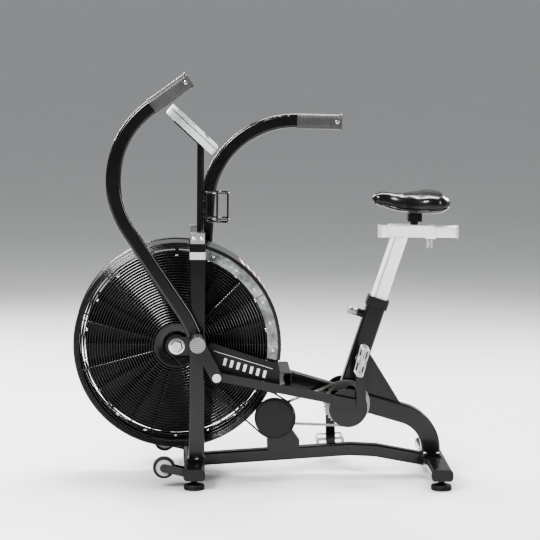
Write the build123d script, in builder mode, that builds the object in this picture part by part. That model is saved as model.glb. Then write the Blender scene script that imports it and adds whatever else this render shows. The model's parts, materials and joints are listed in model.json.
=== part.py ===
from build123d import *
import os
from math import acos, atan2, cos, degrees, hypot, radians, sin

# Air bike: a fan in a wire cage at the front, two swinging arms, and a crank under the saddle that
# drives the fan through a chain and a belt. Millimetres, +Z up, the front of the bike towards -X,
# the rider's left towards -Y. The origin is on the floor under the middle of the bike.

# ---- overall sizes
overall_length = 1232
overall_width = 590
drum_radius = 330
drum_depth = 172
axle_height = 431
pivot_height = 460
upright_height = 755
crank_x = 260
crank_height = 240

# ---- frame tubes
upright_size = 50
tube_wall = 2.5
upright_behind_axle = 65
side_gap = 14
main_tube_depth = 60
main_tube_width = 50
main_tube_slope = 0.29
main_tube_rise = 16
main_bend = 120
main_rear_inset = 12
beam_size = 40
stabilizer_width = 68
stabilizer_height = 36
foot_height = 32
front_stabilizer_ahead = 8
rear_stabilizer_x = 550

# ---- seat
seat_tilt = 18
seat_tube_wall = 4.7
seat_tube_top = 572
post_depth = 50
post_wall = 3
post_insert = 130
rail_height = 36
rail_length = 256
rail_bottom = 774
saddle_length = 257
saddle_width = 214
saddle_bottom = 850
saddle_top = 932

# ---- drive
crank_length = 170
crank_angle = 78
throw = 42
throw_angle = 19
chain_pitch = 12.7
ring_teeth = 36
sprocket_teeth = 12
jack_x = 28
jack_height = 200
jack_pulley_radius = 64
fan_pulley_radius = 32
chain_y = -46
belt_width = 10
belt_gap = 5.5

# ---- arms and rods
arm_root = 77
arm_root_angle = 114.5
arm_root_bend = 300
arm_leg = 606
arm_leg_angle = 124
arm_top_bend = 285
arm_reach = 420
arm_grip_angle = 36
grip_length = 145
arm_depth = 47
arm_width = 24
arm_swing = 37
lever_length = 132
lever_angle = 297.8
rod_depth = 28
rod_width = 12

# ---- clearances
running = 0.05
slide_fit = 0.3
side_clearance = 4

# ---- places that follow from the sizes above
drum_x = -overall_length / 2 + drum_radius
upright_x = drum_x + upright_behind_axle
upright_inner = drum_depth / 2 + side_gap
upright_y = upright_inner + upright_size / 2
upright_outer = upright_inner + upright_size
rod_in = upright_outer + side_clearance
rod_out = rod_in + rod_width
arm_in = rod_out + side_clearance
arm_out = arm_in + arm_width
stabilizer_top = foot_height + stabilizer_height
beam_z = foot_height + stabilizer_height / 2
belt_y = -drum_depth / 2 - belt_gap
post_room = post_depth + 2 * slide_fit
post_width = post_depth - 6
seat_tube_size = post_room + 2 * seat_tube_wall


def along(x, z, angle, length):
    """The point at a distance and an angle (from +X towards +Z) from a point of the side view."""
    return x + length * cos(radians(angle)), z + length * sin(radians(angle))


def side(y):
    """A drawing plane parallel to the side view at this y; extrusions from it run towards -Y."""
    return Plane.XZ.offset(-y)


def disc(x, z, radius, y_low, y_high, hole=0):
    """A round piece across the bike, with a hole if one is given."""
    with BuildPart() as piece:
        with BuildSketch(side(y_high)):
            with Locations((x, z)):
                Circle(radius)
                if hole:
                    Circle(hole, mode=Mode.SUBTRACT)
        extrude(amount=y_high - y_low)
    return piece.part


def link(start, end, width, y_low, y_high, holes=(0, 0)):
    """A flat bar with round ends between two points of the side view, with a hole at each end."""
    length = hypot(end[0] - start[0], end[1] - start[1])
    turn = degrees(atan2(end[1] - start[1], end[0] - start[0]))
    middle = ((start[0] + end[0]) / 2, (start[1] + end[1]) / 2)
    with BuildPart() as piece:
        with BuildSketch(side(y_high)):
            with Locations(middle):
                SlotCenterToCenter(length, width, rotation=turn)
            for point, hole in zip((start, end), holes):
                if hole:
                    with Locations(point):
                        Circle(hole, mode=Mode.SUBTRACT)
        extrude(amount=y_high - y_low)
    return piece.part


def bar(points, radius, depth, width, wall=0):
    """A square-cornered tube or bar bent along points of the side view, centred on the bike."""
    with BuildPart() as piece:
        with BuildLine(Plane.XZ) as path:
            if len(points) > 2:
                FilletPolyline(*points, radius=radius)
            else:
                Line(*points)
        start = path.line @ 0
        with BuildSketch(Plane(origin=start, x_dir=(0, 1, 0), z_dir=path.line % 0)):
            RectangleRounded(width, depth, 5)
            if wall:
                RectangleRounded(width - 2 * wall, depth - 2 * wall, 5 - wall, mode=Mode.SUBTRACT)
        sweep(path=path.line)
    return piece.part


def block(x_low, x_high, y_low, y_high, z_low, z_high):
    """A plain block between two corners."""
    with BuildPart() as piece:
        with Locations(((x_low + x_high) / 2, (y_low + y_high) / 2, (z_low + z_high) / 2)):
            Box(x_high - x_low, y_high - y_low, z_high - z_low)
    return piece.part


def mirrored(part):
    """The same piece on the rider's right."""
    return mirror(part, about=Plane.XZ, mode=Mode.PRIVATE)


def swung(part, x, z, angle):
    """A piece turned about a crosswise axis, positive from +Z towards +X."""
    return part.rotate(Axis((x, 0, z), (0, 1, 0)), angle)


def save(part, name):
    part.label = name
    export_step(part, f"parts/{name}.step")


os.makedirs("parts", exist_ok=True)
fasteners = []

# ---- stabilizers: flat tubes across the floor, with plastic end caps and feet
cap_length = 12
cap_wall = 3


def stabilizer(x):
    half = overall_width / 2 - cap_length
    with BuildPart() as piece:
        with BuildSketch(side(half)):
            with Locations((x, beam_z)):
                RectangleRounded(stabilizer_width, stabilizer_height, 12)
                RectangleRounded(stabilizer_width - 2 * cap_wall, stabilizer_height - 2 * cap_wall,
                                 9, mode=Mode.SUBTRACT)
        extrude(amount=2 * half)
    return piece.part


front_stabilizer_x = upright_x - front_stabilizer_ahead
front_stabilizer = stabilizer(front_stabilizer_x)
rear_stabilizer = stabilizer(rear_stabilizer_x)
save(front_stabilizer, "front_stabilizer")
save(rear_stabilizer, "rear_stabilizer")

plug_depth = 20
with BuildPart() as stabilizer_caps:
    for x in (front_stabilizer_x, rear_stabilizer_x):
        for turn in (1, -1):
            face = Plane(origin=(x, turn * (overall_width / 2 - cap_length), beam_z),
                         x_dir=(1, 0, 0), z_dir=(0, turn, 0))
            with BuildSketch(face):
                RectangleRounded(stabilizer_width, stabilizer_height, 12)
            extrude(amount=cap_length)
            with BuildSketch(face):
                RectangleRounded(stabilizer_width - 2 * cap_wall - 1,
                                 stabilizer_height - 2 * cap_wall - 1, 8.5)
            extrude(amount=-plug_depth)
save(stabilizer_caps.part, "stabilizer_caps")

foot_y = overall_width / 2 - 36
foot_radius = 33
stem_radius = 8
with BuildPart() as feet:
    for x in (front_stabilizer_x, rear_stabilizer_x):
        for y in (-foot_y, foot_y):
            with Locations((x, y, 0)):
                Cylinder(foot_radius, 16, align=(Align.CENTER, Align.CENTER, Align.MIN))
            with Locations((x, y, 16)):
                Cylinder(stem_radius, foot_height - 16,
                         align=(Align.CENTER, Align.CENTER, Align.MIN))
save(feet.part, "feet")

# ---- uprights: two posts beside the fan, each on a foot plate bolted to the front stabilizer
foot_plate_height = 10
upright_foot = stabilizer_top + foot_plate_height


axle_radius = 10
pivot_radius = 12
plate_length = 90
plate_wall = 3
plate_radius = 30
with BuildPart() as left_upright:
    with BuildSketch(Plane.XY.offset(upright_foot)):
        with Locations((upright_x, -upright_y)):
            RectangleRounded(upright_size, upright_size, 6)
            RectangleRounded(upright_size - 2 * tube_wall, upright_size - 2 * tube_wall, 3.5,
                             mode=Mode.SUBTRACT)
    extrude(amount=upright_height - upright_foot)
    with Locations((upright_x, -upright_y, stabilizer_top)):
        Box(upright_size + 2, plate_length, foot_plate_height,
            align=(Align.CENTER, Align.CENTER, Align.MIN))
    with BuildSketch(side(-upright_inner + plate_wall)):
        with Locations(((drum_x + upright_x) / 2, axle_height)):
            SlotCenterToCenter(upright_behind_axle, 2 * plate_radius)
    extrude(amount=plate_wall)
    with BuildSketch(side(-upright_inner + plate_wall)):
        with Locations((drum_x, axle_height)):
            Circle(axle_radius)
    extrude(amount=plate_wall, mode=Mode.SUBTRACT)
    with BuildSketch(side(-upright_inner + plate_wall)):
        with Locations((upright_x, pivot_height)):
            Circle(pivot_radius)
    extrude(amount=upright_size + plate_wall, mode=Mode.SUBTRACT)
save(left_upright.part, "left_upright")
save(mirrored(left_upright.part), "right_upright")

# ---- bridge: a cross tube over the fan that ties the uprights and carries the mast
bridge_height = 40
bridge_top = upright_height + bridge_height
with BuildPart() as bridge:
    with BuildSketch(Plane.XY.offset(upright_height)):
        with Locations((upright_x, 0)):
            RectangleRounded(upright_size, 2 * upright_outer, 6)
    extrude(amount=8)
    with BuildSketch(Plane.XY.offset(upright_height + 8)):
        with Locations((upright_x, 0)):
            Rectangle(upright_size - 8, 2 * upright_inner)
            Rectangle(upright_size - 14, 2 * upright_inner - 6, mode=Mode.SUBTRACT)
    extrude(amount=bridge_height - 16)
    with BuildSketch(Plane.XY.offset(bridge_top - 8)):
        with Locations((upright_x, 0)):
            Rectangle(upright_size - 4, 2 * upright_inner + 8)
    extrude(amount=8)
    with BuildSketch(side(upright_inner - 2)):
        with Locations((drum_x, axle_height)):
            Circle(drum_radius + 2)
    extrude(amount=2 * upright_inner - 4, mode=Mode.SUBTRACT)
save(bridge.part, "bridge")

head_radius = 8.5
head_height = 6
for y in (-upright_y, upright_y):
    for x in (upright_x - 12, upright_x + 12):
        fasteners.append((x, y, upright_height + 8))

# ---- main tube: from the fan cage down past the crank, then bent down onto the rear stabilizer
def main_height(x):
    return crank_height + main_tube_rise - (x - crank_x) * main_tube_slope


shell_radius = 27
shell_bore = 21
shell_half = 40
main_rear_x = rear_stabilizer_x - main_rear_inset
rear_plate = 8
cross_size = 40
cross_front_x = 40
cross_z = main_height(cross_front_x) + 10
rail_in = upright_inner + 2
rail_thick = 20
rail_out = rail_in + rail_thick
main_foot = stabilizer_top + rear_plate
main_front_x = cross_front_x + cross_size / 2
main_path = [(main_front_x, main_height(main_front_x)),
             (main_rear_x, main_height(main_rear_x)),
             (main_rear_x, main_foot)]
main_solid = bar(main_path, main_bend, main_tube_depth, main_tube_width)
shell_solid = disc(crank_x, crank_height, shell_radius, -shell_half, shell_half)
with BuildPart() as main_tube:
    add(bar(main_path, main_bend, main_tube_depth, main_tube_width, tube_wall))
    add(shell_solid)
    add(disc(crank_x, crank_height, shell_bore, -shell_half, shell_half), mode=Mode.SUBTRACT)
    with BuildSketch(Plane.XY.offset(stabilizer_top)):
        with Locations((main_rear_x, 0)):
            RectangleRounded(main_tube_depth + 4, main_tube_width + 60, 8)
    extrude(amount=rear_plate)
    with BuildSketch(side(rail_out)):
        with Locations((cross_front_x + cross_size / 2, cross_z)):
            RectangleRounded(cross_size, cross_size, 5)
            RectangleRounded(cross_size - 2 * tube_wall, cross_size - 2 * tube_wall, 2.5,
                             mode=Mode.SUBTRACT)
    extrude(amount=2 * rail_out)
save(main_tube.part, "main_tube")

# ---- side rails: flat tubes past each side of the cage, from the uprights to the cross tube
rail_depth = 46
rail_front_x = upright_x + upright_size / 2
with BuildPart() as side_rail:
    with BuildSketch(side(-rail_in)) as rail_outline:
        with BuildLine():
            front_z = main_height(rail_front_x)
            rear_z = main_height(cross_front_x)
            Polyline((rail_front_x, front_z - rail_depth / 2), (rail_front_x, front_z + rail_depth / 2),
                     (cross_front_x, rear_z + rail_depth / 2), (cross_front_x, rear_z - rail_depth / 2),
                     close=True)
        make_face()
    extrude(amount=rail_thick)
with BuildPart() as side_rails:
    add(side_rail.part)
    add(mirrored(side_rail.part))
save(side_rails.part, "side_rails")

for x in (main_rear_x - 20, main_rear_x + 20):
    fasteners += [(x, -41, main_foot), (x, 41, main_foot)]
for y in (-upright_y, upright_y):
    for shift in (-1, 1):
        fasteners.append((upright_x, y + shift * (upright_size + plate_length) / 4 + shift, upright_foot))

# ---- lower beam: a square tube between the stabilizers, arched a little under the crank
beam_front = front_stabilizer_x + stabilizer_width / 2
beam_rear = rear_stabilizer_x - stabilizer_width / 2
beam_crown = 84
beam_crown_rear = 80
beam_bend = 60
beam_path = [(beam_front - 10, beam_z), (crank_x + 15, beam_crown), (crank_x + 100, beam_crown_rear),
             (beam_rear + 10, beam_z)]
with BuildPart() as lower_beam:
    add(bar(beam_path, beam_bend, beam_size, beam_size, tube_wall))
    for stabilizer_x in (front_stabilizer_x, rear_stabilizer_x):
        with BuildSketch(side(beam_size)):
            with Locations((stabilizer_x, beam_z)):
                RectangleRounded(stabilizer_width, stabilizer_height + 60, 12)
        extrude(amount=2 * beam_size, mode=Mode.SUBTRACT)
    add(block(main_rear_x - main_tube_depth / 2 - 2, rear_stabilizer_x, -beam_size, beam_size,
              stabilizer_top, main_foot), mode=Mode.SUBTRACT)
save(lower_beam.part, "lower_beam")

# ---- seat tube: leans back from the main tube, with a gusset behind and a collar at its mouth
lean = Vector(sin(radians(seat_tilt)), 0, cos(radians(seat_tilt)))
seat_root_x = crank_x
seat_root_z = main_height(seat_root_x)
seat_axis_top = (seat_tube_top - seat_root_z) / lean.Z


def seat_plane(distance):
    origin = Vector(seat_root_x, 0, seat_root_z) + lean * distance
    return Plane(origin=origin, x_dir=(0, 1, 0), z_dir=lean)


with BuildPart() as seat_tube:
    with BuildSketch(seat_plane(0)):
        RectangleRounded(seat_tube_size - 6, seat_tube_size, 6)
    extrude(amount=seat_axis_top)
    with BuildSketch(seat_plane(40)):
        RectangleRounded(post_width + 2 * slide_fit, post_room, 4)
    extrude(amount=seat_axis_top - 40, mode=Mode.SUBTRACT)
    add(main_solid, mode=Mode.SUBTRACT)
    add(shell_solid, mode=Mode.SUBTRACT)
seat_tube_solid = seat_tube.part.solids().sort_by(Axis.Z)[-1]

collar_height = 26
collar_wall = 5
with BuildPart() as post_collar:
    with BuildSketch(seat_plane(seat_axis_top)):
        RectangleRounded(seat_tube_size - 6 + 2 * collar_wall, seat_tube_size + 2 * collar_wall, 9)
        RectangleRounded(post_width + 2 * slide_fit, post_room, 4, mode=Mode.SUBTRACT)
    extrude(amount=collar_wall)
    with BuildSketch(seat_plane(seat_axis_top)):
        RectangleRounded(seat_tube_size - 6 + 2 * collar_wall, seat_tube_size + 2 * collar_wall, 9)
        RectangleRounded(seat_tube_size - 6, seat_tube_size, 6, mode=Mode.SUBTRACT)
    extrude(amount=-collar_height)

# the pull pin that locks the post rides in a boss on the front of the seat tube
pin_radius = 5
boss_radius = 13
boss_length = 22
pin_from_top = 34
pin_travel = 10
lean_front = Vector(-lean.Z, 0, lean.X)
pin_base = (Vector(seat_root_x, 0, seat_root_z) + lean * (seat_axis_top - collar_height - pin_from_top)
            + lean_front * (seat_tube_size / 2))
pin_plane = Plane(origin=pin_base, x_dir=(0, 1, 0), z_dir=lean_front)
gusset_wall = 5
gusset_top_z = crank_height + 158
gusset_back_x = crank_x + 178
gusset_foot_x = crank_x + 38


def seat_back_x(z):
    return (seat_root_x + (z - seat_root_z) * lean.X / lean.Z
            + (seat_tube_size / 2 - 1) / cos(radians(seat_tilt)))


def main_top(x):
    return main_height(x) + main_tube_depth / 2 * hypot(1, main_tube_slope)


with BuildPart() as seat_tube:
    add(seat_tube_solid)
    with BuildSketch(pin_plane):
        Circle(boss_radius)
    extrude(amount=boss_length)
    with BuildSketch(pin_plane.offset(boss_length)):
        Circle(pin_radius + running)
    extrude(amount=-boss_length - seat_tube_size / 2, mode=Mode.SUBTRACT)
    with BuildSketch(side(gusset_wall * 2)):
        with BuildLine():
            Polyline((seat_back_x(gusset_top_z), gusset_top_z),
                     (gusset_back_x, main_top(gusset_back_x)),
                     (gusset_back_x, main_top(gusset_back_x) - 10),
                     (seat_back_x(main_top(gusset_foot_x) - 10), main_top(gusset_foot_x) - 10), close=True)
        make_face()
    extrude(amount=gusset_wall * 4)
    add(main_solid, mode=Mode.SUBTRACT)
save(seat_tube.part, "seat_tube")
save(post_collar.part, "post_collar")

knob_gap = 2
knob_radius = 15
knob_length = 28
wall_depth = (seat_tube_size - post_room) / 2
with BuildPart() as post_pin:
    with BuildSketch(pin_plane.offset(-wall_depth + 0.5)):
        Circle(pin_radius)
    extrude(amount=wall_depth - 0.5 + boss_length + knob_gap)
    with BuildSketch(pin_plane.offset(boss_length + knob_gap)):
        Circle(knob_radius)
    extrude(amount=knob_length, taper=4)
    fillet(post_pin.edges().filter_by(GeomType.CIRCLE).group_by(Axis.X)[0], 3)
save(post_pin.part, "post_pin")

# ---- seat post and the rail on its top
rail_z = rail_bottom + rail_height / 2
rail_rear_x = overall_length / 2
post_top_distance = (rail_bottom - seat_root_z) / lean.Z
post_low = seat_axis_top - post_insert
with BuildPart() as seat_post:
    with BuildSketch(seat_plane(post_low)):
        RectangleRounded(post_width, post_depth, 5)
        RectangleRounded(post_width - 2 * post_wall, post_depth - 2 * post_wall, 2,
                         mode=Mode.SUBTRACT)
    extrude(amount=post_top_distance - post_low + 40)
    with Locations((seat_root_x, 0, rail_bottom)):
        Box(900, 200, 400, align=(Align.CENTER, Align.CENTER, Align.MIN), mode=Mode.SUBTRACT)

rail_width = 44
with BuildPart() as seat_rail:
    with BuildSketch(Plane.YZ.offset(rail_rear_x - rail_length + 8)):
        with Locations((0, rail_z)):
            RectangleRounded(rail_width, rail_height, 4)
            RectangleRounded(rail_width - 6, rail_height - 6, 2, mode=Mode.SUBTRACT)
    extrude(amount=rail_length - 16)
    add(seat_post.part)
save(seat_rail.part, "seat_post")
with BuildPart() as rail_caps:
    for x in (rail_rear_x - rail_length, rail_rear_x - 8):
        with BuildSketch(Plane.YZ.offset(x)):
            with Locations((0, rail_z)):
                RectangleRounded(rail_width + 4, rail_height + 4, 5)
        extrude(amount=8)
save(rail_caps.part, "rail_caps")

# ---- carriage: a channel over the rail that the saddle is clamped to, with its own pull pin
carriage_front = rail_rear_x - rail_length + 34
carriage_length = 148
carriage_wall = 4
post_top_x = seat_root_x + post_top_distance * lean.X
lock_width = 30
lock_x = carriage_front + carriage_length - lock_width / 2
cheek_drop = 6
with BuildPart() as seat_carriage:
    with BuildSketch(Plane.YZ.offset(carriage_front)):
        with Locations((0, rail_z)):
            RectangleRounded(rail_width + 2 * slide_fit + 2 * carriage_wall,
                             rail_height + 2 * slide_fit + 2 * carriage_wall, 5)
            RectangleRounded(rail_width + 2 * slide_fit, rail_height + 2 * slide_fit, 4,
                             mode=Mode.SUBTRACT)
    extrude(amount=carriage_length)
    with Locations((carriage_front - 1, 0, rail_bottom + cheek_drop)):
        Box(carriage_length - lock_width + 1, 200, 60,
            align=(Align.MIN, Align.CENTER, Align.MAX), mode=Mode.SUBTRACT)
    with Locations((lock_x, 0, rail_bottom - slide_fit)):
        Cylinder(pin_radius + running, carriage_wall,
                 align=(Align.CENTER, Align.CENTER, Align.MAX), mode=Mode.SUBTRACT)
save(seat_carriage.part, "seat_carriage")

carriage_bottom = rail_bottom - slide_fit - carriage_wall
with BuildPart() as carriage_pin:
    with Locations((lock_x, 0, rail_bottom - slide_fit)):
        Cylinder(pin_radius, carriage_wall + knob_gap,
                 align=(Align.CENTER, Align.CENTER, Align.MAX))
    with Locations((lock_x, 0, carriage_bottom - knob_gap)):
        Cylinder(knob_radius - 3, knob_length, align=(Align.CENTER, Align.CENTER, Align.MAX))
    fillet(carriage_pin.edges().filter_by(GeomType.CIRCLE).group_by(Axis.Z)[0], 3)
save(carriage_pin.part, "carriage_pin")

carriage_top = rail_bottom + rail_height + slide_fit + carriage_wall
clamp_x = carriage_front + carriage_length * 0.55
pillar_radius = 12.5
with BuildPart() as saddle_clamp:
    with Locations((clamp_x, 0, carriage_top)):
        Cylinder(pillar_radius, saddle_bottom - carriage_top - 12,
                 align=(Align.CENTER, Align.CENTER, Align.MIN))
    with Locations((clamp_x, 0, saddle_bottom)):
        Box(44, 60, 24, align=(Align.CENTER, Align.CENTER, Align.MAX))
save(saddle_clamp.part, "saddle_clamp")

# ---- saddle: a padded wedge, narrow at the nose and broad at the back
saddle_rear = rail_rear_x - 24
saddle_nose = saddle_rear - saddle_length
nose_radius = 26
hip_radius = 58
saddle_crown = 12
with BuildPart() as saddle:
    with BuildSketch(Plane.XY.offset(saddle_bottom)):
        with Locations((saddle_nose + nose_radius, 0)):
            Circle(nose_radius)
        hip_x = saddle_rear - hip_radius
        with Locations((hip_x, saddle_width / 2 - hip_radius), (hip_x, hip_radius - saddle_width / 2)):
            Circle(hip_radius)
        make_hull()
    extrude(amount=saddle_top - saddle_bottom - saddle_crown)
    fillet(saddle.edges().group_by(Axis.Z)[-1], 14)
save(saddle.part, "saddle")

# ---- crank: a spindle with a web and a crank pin at each end, and an outer arm to each pedal
spindle_radius = 12
pin_size = 9
web_radius = throw + pin_size + 10
web_thickness = 16
web_in = upright_outer - web_thickness - 2
web_out = web_in + web_thickness
crank_in = arm_in
crank_out = crank_in + 14
left_throw = along(crank_x, crank_height, throw_angle, throw)
right_throw = along(crank_x, crank_height, throw_angle + 180, throw)
left_pedal_at = along(crank_x, crank_height, crank_angle, crank_length)
right_pedal_at = along(crank_x, crank_height, crank_angle + 180, crank_length)
spindle = disc(crank_x, crank_height, spindle_radius, -web_in, web_in)
save(spindle, "crank_spindle")

bearing_width = 12
with BuildPart() as crank_bearings:
    for y in (-shell_half + bearing_width, shell_half):
        add(disc(crank_x, crank_height, shell_bore, y - bearing_width, y, spindle_radius + running))
save(crank_bearings.part, "crank_bearings")

pedal_axle_radius = 7
pedal_length = 92
pedal_inner_gap = 6


left_web = disc(crank_x, crank_height, web_radius, -web_out, -web_in)
with BuildPart() as left_web_and_pin:
    add(left_web)
    add(disc(left_throw[0], left_throw[1], pin_size, -crank_in, -web_out))
left_crank_arm = link(left_throw, left_pedal_at, 30, -crank_out, -crank_in)
pedal_axle = disc(left_pedal_at[0], left_pedal_at[1], pedal_axle_radius,
                  -(crank_out + pedal_inner_gap + pedal_length), -crank_out)


def opposite(part):
    """The same crank piece on the right, half a turn away."""
    return swung(mirrored(part), crank_x, crank_height, 180)


with BuildPart() as crank_arms:
    add(left_crank_arm)
    add(opposite(left_crank_arm))
save(crank_arms.part, "crank_arms")
with BuildPart() as crank_webs:
    add(left_web_and_pin.part)
    add(opposite(left_web_and_pin.part))
save(crank_webs.part, "crank_webs")
with BuildPart() as pedal_axles:
    add(pedal_axle)
    add(opposite(pedal_axle))
save(pedal_axles.part, "pedal_axles")

# ---- pedals: a hub on the axle between two side plates, with a toothed cage round them
pedal_height = 26
pedal_depth = 96
left_pedal_tilt = 76
right_pedal_tilt = 4
pedal_in = crank_out + pedal_inner_gap


def pedal(at, tilt):
    with BuildPart() as piece:
        with BuildSketch(side(-pedal_in)):
            with Locations(Location((at[0], at[1], 0), (0, 0, tilt))):
                RectangleRounded(pedal_depth, pedal_height, 8)
                with GridLocations(pedal_depth * 0.62, 0, 2, 1):
                    RectangleRounded(pedal_depth * 0.26, pedal_height - 12, 3, mode=Mode.SUBTRACT)
            with Locations(at):
                Circle(pedal_axle_radius + running, mode=Mode.SUBTRACT)
        extrude(amount=pedal_length)
    return piece.part


save(pedal(left_pedal_at, left_pedal_tilt), "left_pedal")
save(mirrored(pedal(right_pedal_at, right_pedal_tilt)), "right_pedal")

# ---- chain drive from the crank to the jackshaft
ring_radius = chain_pitch / 2 / sin(radians(180 / ring_teeth))
sprocket_radius = chain_pitch / 2 / sin(radians(180 / sprocket_teeth))
ring_thickness = 3
tooth_height = 4


def toothed(x, z, radius, teeth, y, thickness, hole):
    """A toothed wheel: a disc up to the roots with rounded teeth standing round its rim."""
    with BuildPart() as piece:
        with BuildSketch(side(y + thickness / 2)):
            with Locations((x, z)):
                Circle(radius - 3)
                with PolarLocations(radius - 3, teeth):
                    Rectangle(2 * tooth_height, 5)
                Circle(hole, mode=Mode.SUBTRACT)
        extrude(amount=thickness)
    return piece.part


with BuildPart() as chainring:
    add(toothed(crank_x, crank_height, ring_radius, ring_teeth, chain_y, ring_thickness, spindle_radius))
    with BuildSketch(side(chain_y + ring_thickness)):
        with Locations((crank_x, crank_height)):
            with PolarLocations(ring_radius * 0.6, 5):
                Circle(16)
    extrude(amount=2 * ring_thickness, mode=Mode.SUBTRACT)
save(chainring.part, "chainring")

jack_radius = 10
jack_left = belt_y - belt_width / 2 - 3
housing_half = 26
housing_radius = 26
with BuildPart() as jackshaft:
    add(disc(jack_x, jack_height, jack_radius, jack_left, housing_half + 6))
    add(toothed(jack_x, jack_height, sprocket_radius, sprocket_teeth, chain_y, ring_thickness,
                jack_radius))
save(jackshaft.part, "jackshaft")
with BuildPart() as jack_pulley:
    add(disc(jack_x, jack_height, jack_pulley_radius, belt_y - belt_width / 2, belt_y + belt_width / 2,
             jack_radius))
    add(disc(jack_x, jack_height, jack_pulley_radius - 6, jack_left - 3, jack_left))
save(jack_pulley.part, "jack_pulley")

def beam_top(x):
    """Height of the lower beam's top ahead of the crank, cut level for the pedestal's foot."""
    run = crank_x + 15 - (beam_front - 10)
    return beam_z + (x - (beam_front - 10)) * (beam_crown - beam_z) / run + beam_size / 2


pedestal_length = 84
with BuildPart() as pedestal:
    with BuildSketch(side(housing_half)):
        with BuildLine():
            Polyline((jack_x - 24, jack_height), (jack_x - 20, beam_top(jack_x) - 4),
                     (jack_x + pedestal_length, beam_top(jack_x) - 4),
                     (jack_x + pedestal_length, beam_top(jack_x) + 30), (jack_x + 24, jack_height),
                     close=True)
        make_face()
    extrude(amount=2 * housing_half)
    add(bar(beam_path, beam_bend, beam_size, beam_size), mode=Mode.SUBTRACT)
    add(disc(jack_x, jack_height, housing_radius, -housing_half, housing_half))
    add(disc(jack_x, jack_height, jack_radius + running, -housing_half, housing_half),
        mode=Mode.SUBTRACT)
save(pedestal.part, "pedestal")


def loop(big, big_radius, small, small_radius, thickness, y_low, y_high):
    """A closed belt round two wheels: two outer tangents and the arcs between them."""
    across = Vector(big[0] - small[0], big[1] - small[1], 0)
    reach = across.length
    lean_angle = degrees(atan2(across.Y, across.X))
    spread = degrees(acos((big_radius - small_radius) / reach))
    with BuildPart() as piece:
        with BuildSketch(side(y_high)):
            for extra, mode in ((thickness, Mode.ADD), (0, Mode.SUBTRACT)):
                with BuildLine():
                    upper_big = along(big[0], big[1], lean_angle + 180 - spread, big_radius + extra)
                    lower_big = along(big[0], big[1], lean_angle + 180 + spread, big_radius + extra)
                    upper_small = along(small[0], small[1], lean_angle + 180 - spread,
                                        small_radius + extra)
                    lower_small = along(small[0], small[1], lean_angle + 180 + spread,
                                        small_radius + extra)
                    far_big = along(big[0], big[1], lean_angle, big_radius + extra)
                    far_small = along(small[0], small[1], lean_angle + 180, small_radius + extra)
                    Line(upper_small, upper_big)
                    ThreePointArc(upper_big, far_big, lower_big)
                    Line(lower_big, lower_small)
                    ThreePointArc(lower_small, far_small, upper_small)
                make_face(mode=mode)
        extrude(amount=y_high - y_low)
    return piece.part


chain_room = tooth_height + 1.6
chain = loop((crank_x, crank_height), ring_radius + chain_room - 3, (jack_x, jack_height),
             sprocket_radius + chain_room - 3, 6, chain_y - 4, chain_y + 4)
save(chain, "chain")

# ---- belt drive from the jackshaft to the fan
belt = loop((jack_x, jack_height), jack_pulley_radius + slide_fit, (drum_x, axle_height),
            fan_pulley_radius + slide_fit, 4, belt_y - belt_width / 2, belt_y + belt_width / 2)
save(belt, "belt")

# ---- fan: a fixed axle between two plates on the uprights, and the bladed wheel that turns on it
fan_axle = disc(drum_x, axle_height, axle_radius, -upright_inner, upright_inner)
save(fan_axle, "fan_axle")

fan_hub_radius = 46
fan_half = drum_depth / 2 - 20
with BuildPart() as fan_hub:
    add(disc(drum_x, axle_height, 22, belt_y + belt_width / 2, fan_half, axle_radius + running))
    add(disc(drum_x, axle_height, fan_hub_radius, -fan_half, fan_half, axle_radius + running))
    add(disc(drum_x, axle_height, fan_pulley_radius, belt_y - belt_width / 2, belt_y + belt_width / 2,
             axle_radius + running))
save(fan_hub.part, "fan_hub")

blade_count = 24
blade_tip = drum_radius - 38
blade_wall = 3
with BuildPart() as fan_blades:
    add(disc(drum_x, axle_height, blade_tip, -blade_wall / 2, blade_wall / 2, fan_hub_radius))
    for half_plane in (side(fan_half - 4), side(-blade_wall / 2)):
        with BuildSketch(half_plane):
            with Locations((drum_x, axle_height)):
                with PolarLocations((blade_tip + fan_hub_radius + 40) / 2, blade_count):
                    Rectangle(blade_tip - fan_hub_radius - 40, blade_wall)
        extrude(amount=fan_half - 4 - blade_wall / 2)
save(fan_blades.part, "fan_wheel")

# ---- cage: a rim band with a wire grille on each side and a wind guard over its upper back
band_wall = 3
band_half = drum_depth / 2 - 4
drum_band = disc(drum_x, axle_height, drum_radius - 3, -band_half, band_half, drum_radius - 3 - band_wall)
save(drum_band, "drum_band")

wire = 3.8
ring_count = 28
ring_inner = 75
ring_outer = drum_radius - 17
hub_disc_radius = 70
rim_inner = drum_radius - 10
spoke_count = 12
with BuildPart() as left_cage:
    with BuildSketch(side(-band_half)):
        with Locations((drum_x, axle_height)):
            Circle(drum_radius)
            Circle(rim_inner, mode=Mode.SUBTRACT)
            Circle(hub_disc_radius)
            Circle(22 + 4, mode=Mode.SUBTRACT)
    extrude(amount=4)
    with BuildSketch(side(-band_half)):
        with Locations((drum_x, axle_height)):
            with PolarLocations((hub_disc_radius + rim_inner) / 2, spoke_count):
                Rectangle(rim_inner - hub_disc_radius + 2, wire)
    extrude(amount=2)
    with BuildSketch(side(-band_half - 2)):
        with Locations((drum_x, axle_height)):
            for index in reversed(range(ring_count)):
                radius = ring_inner + index * (ring_outer - ring_inner) / (ring_count - 1)
                Circle(radius + wire / 2)
                Circle(radius - wire / 2, mode=Mode.SUBTRACT)
    extrude(amount=2)
with BuildPart() as cage_sides:
    add(left_cage.part)
    add(mirrored(left_cage.part))
save(cage_sides.part, "cage_sides")

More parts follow.
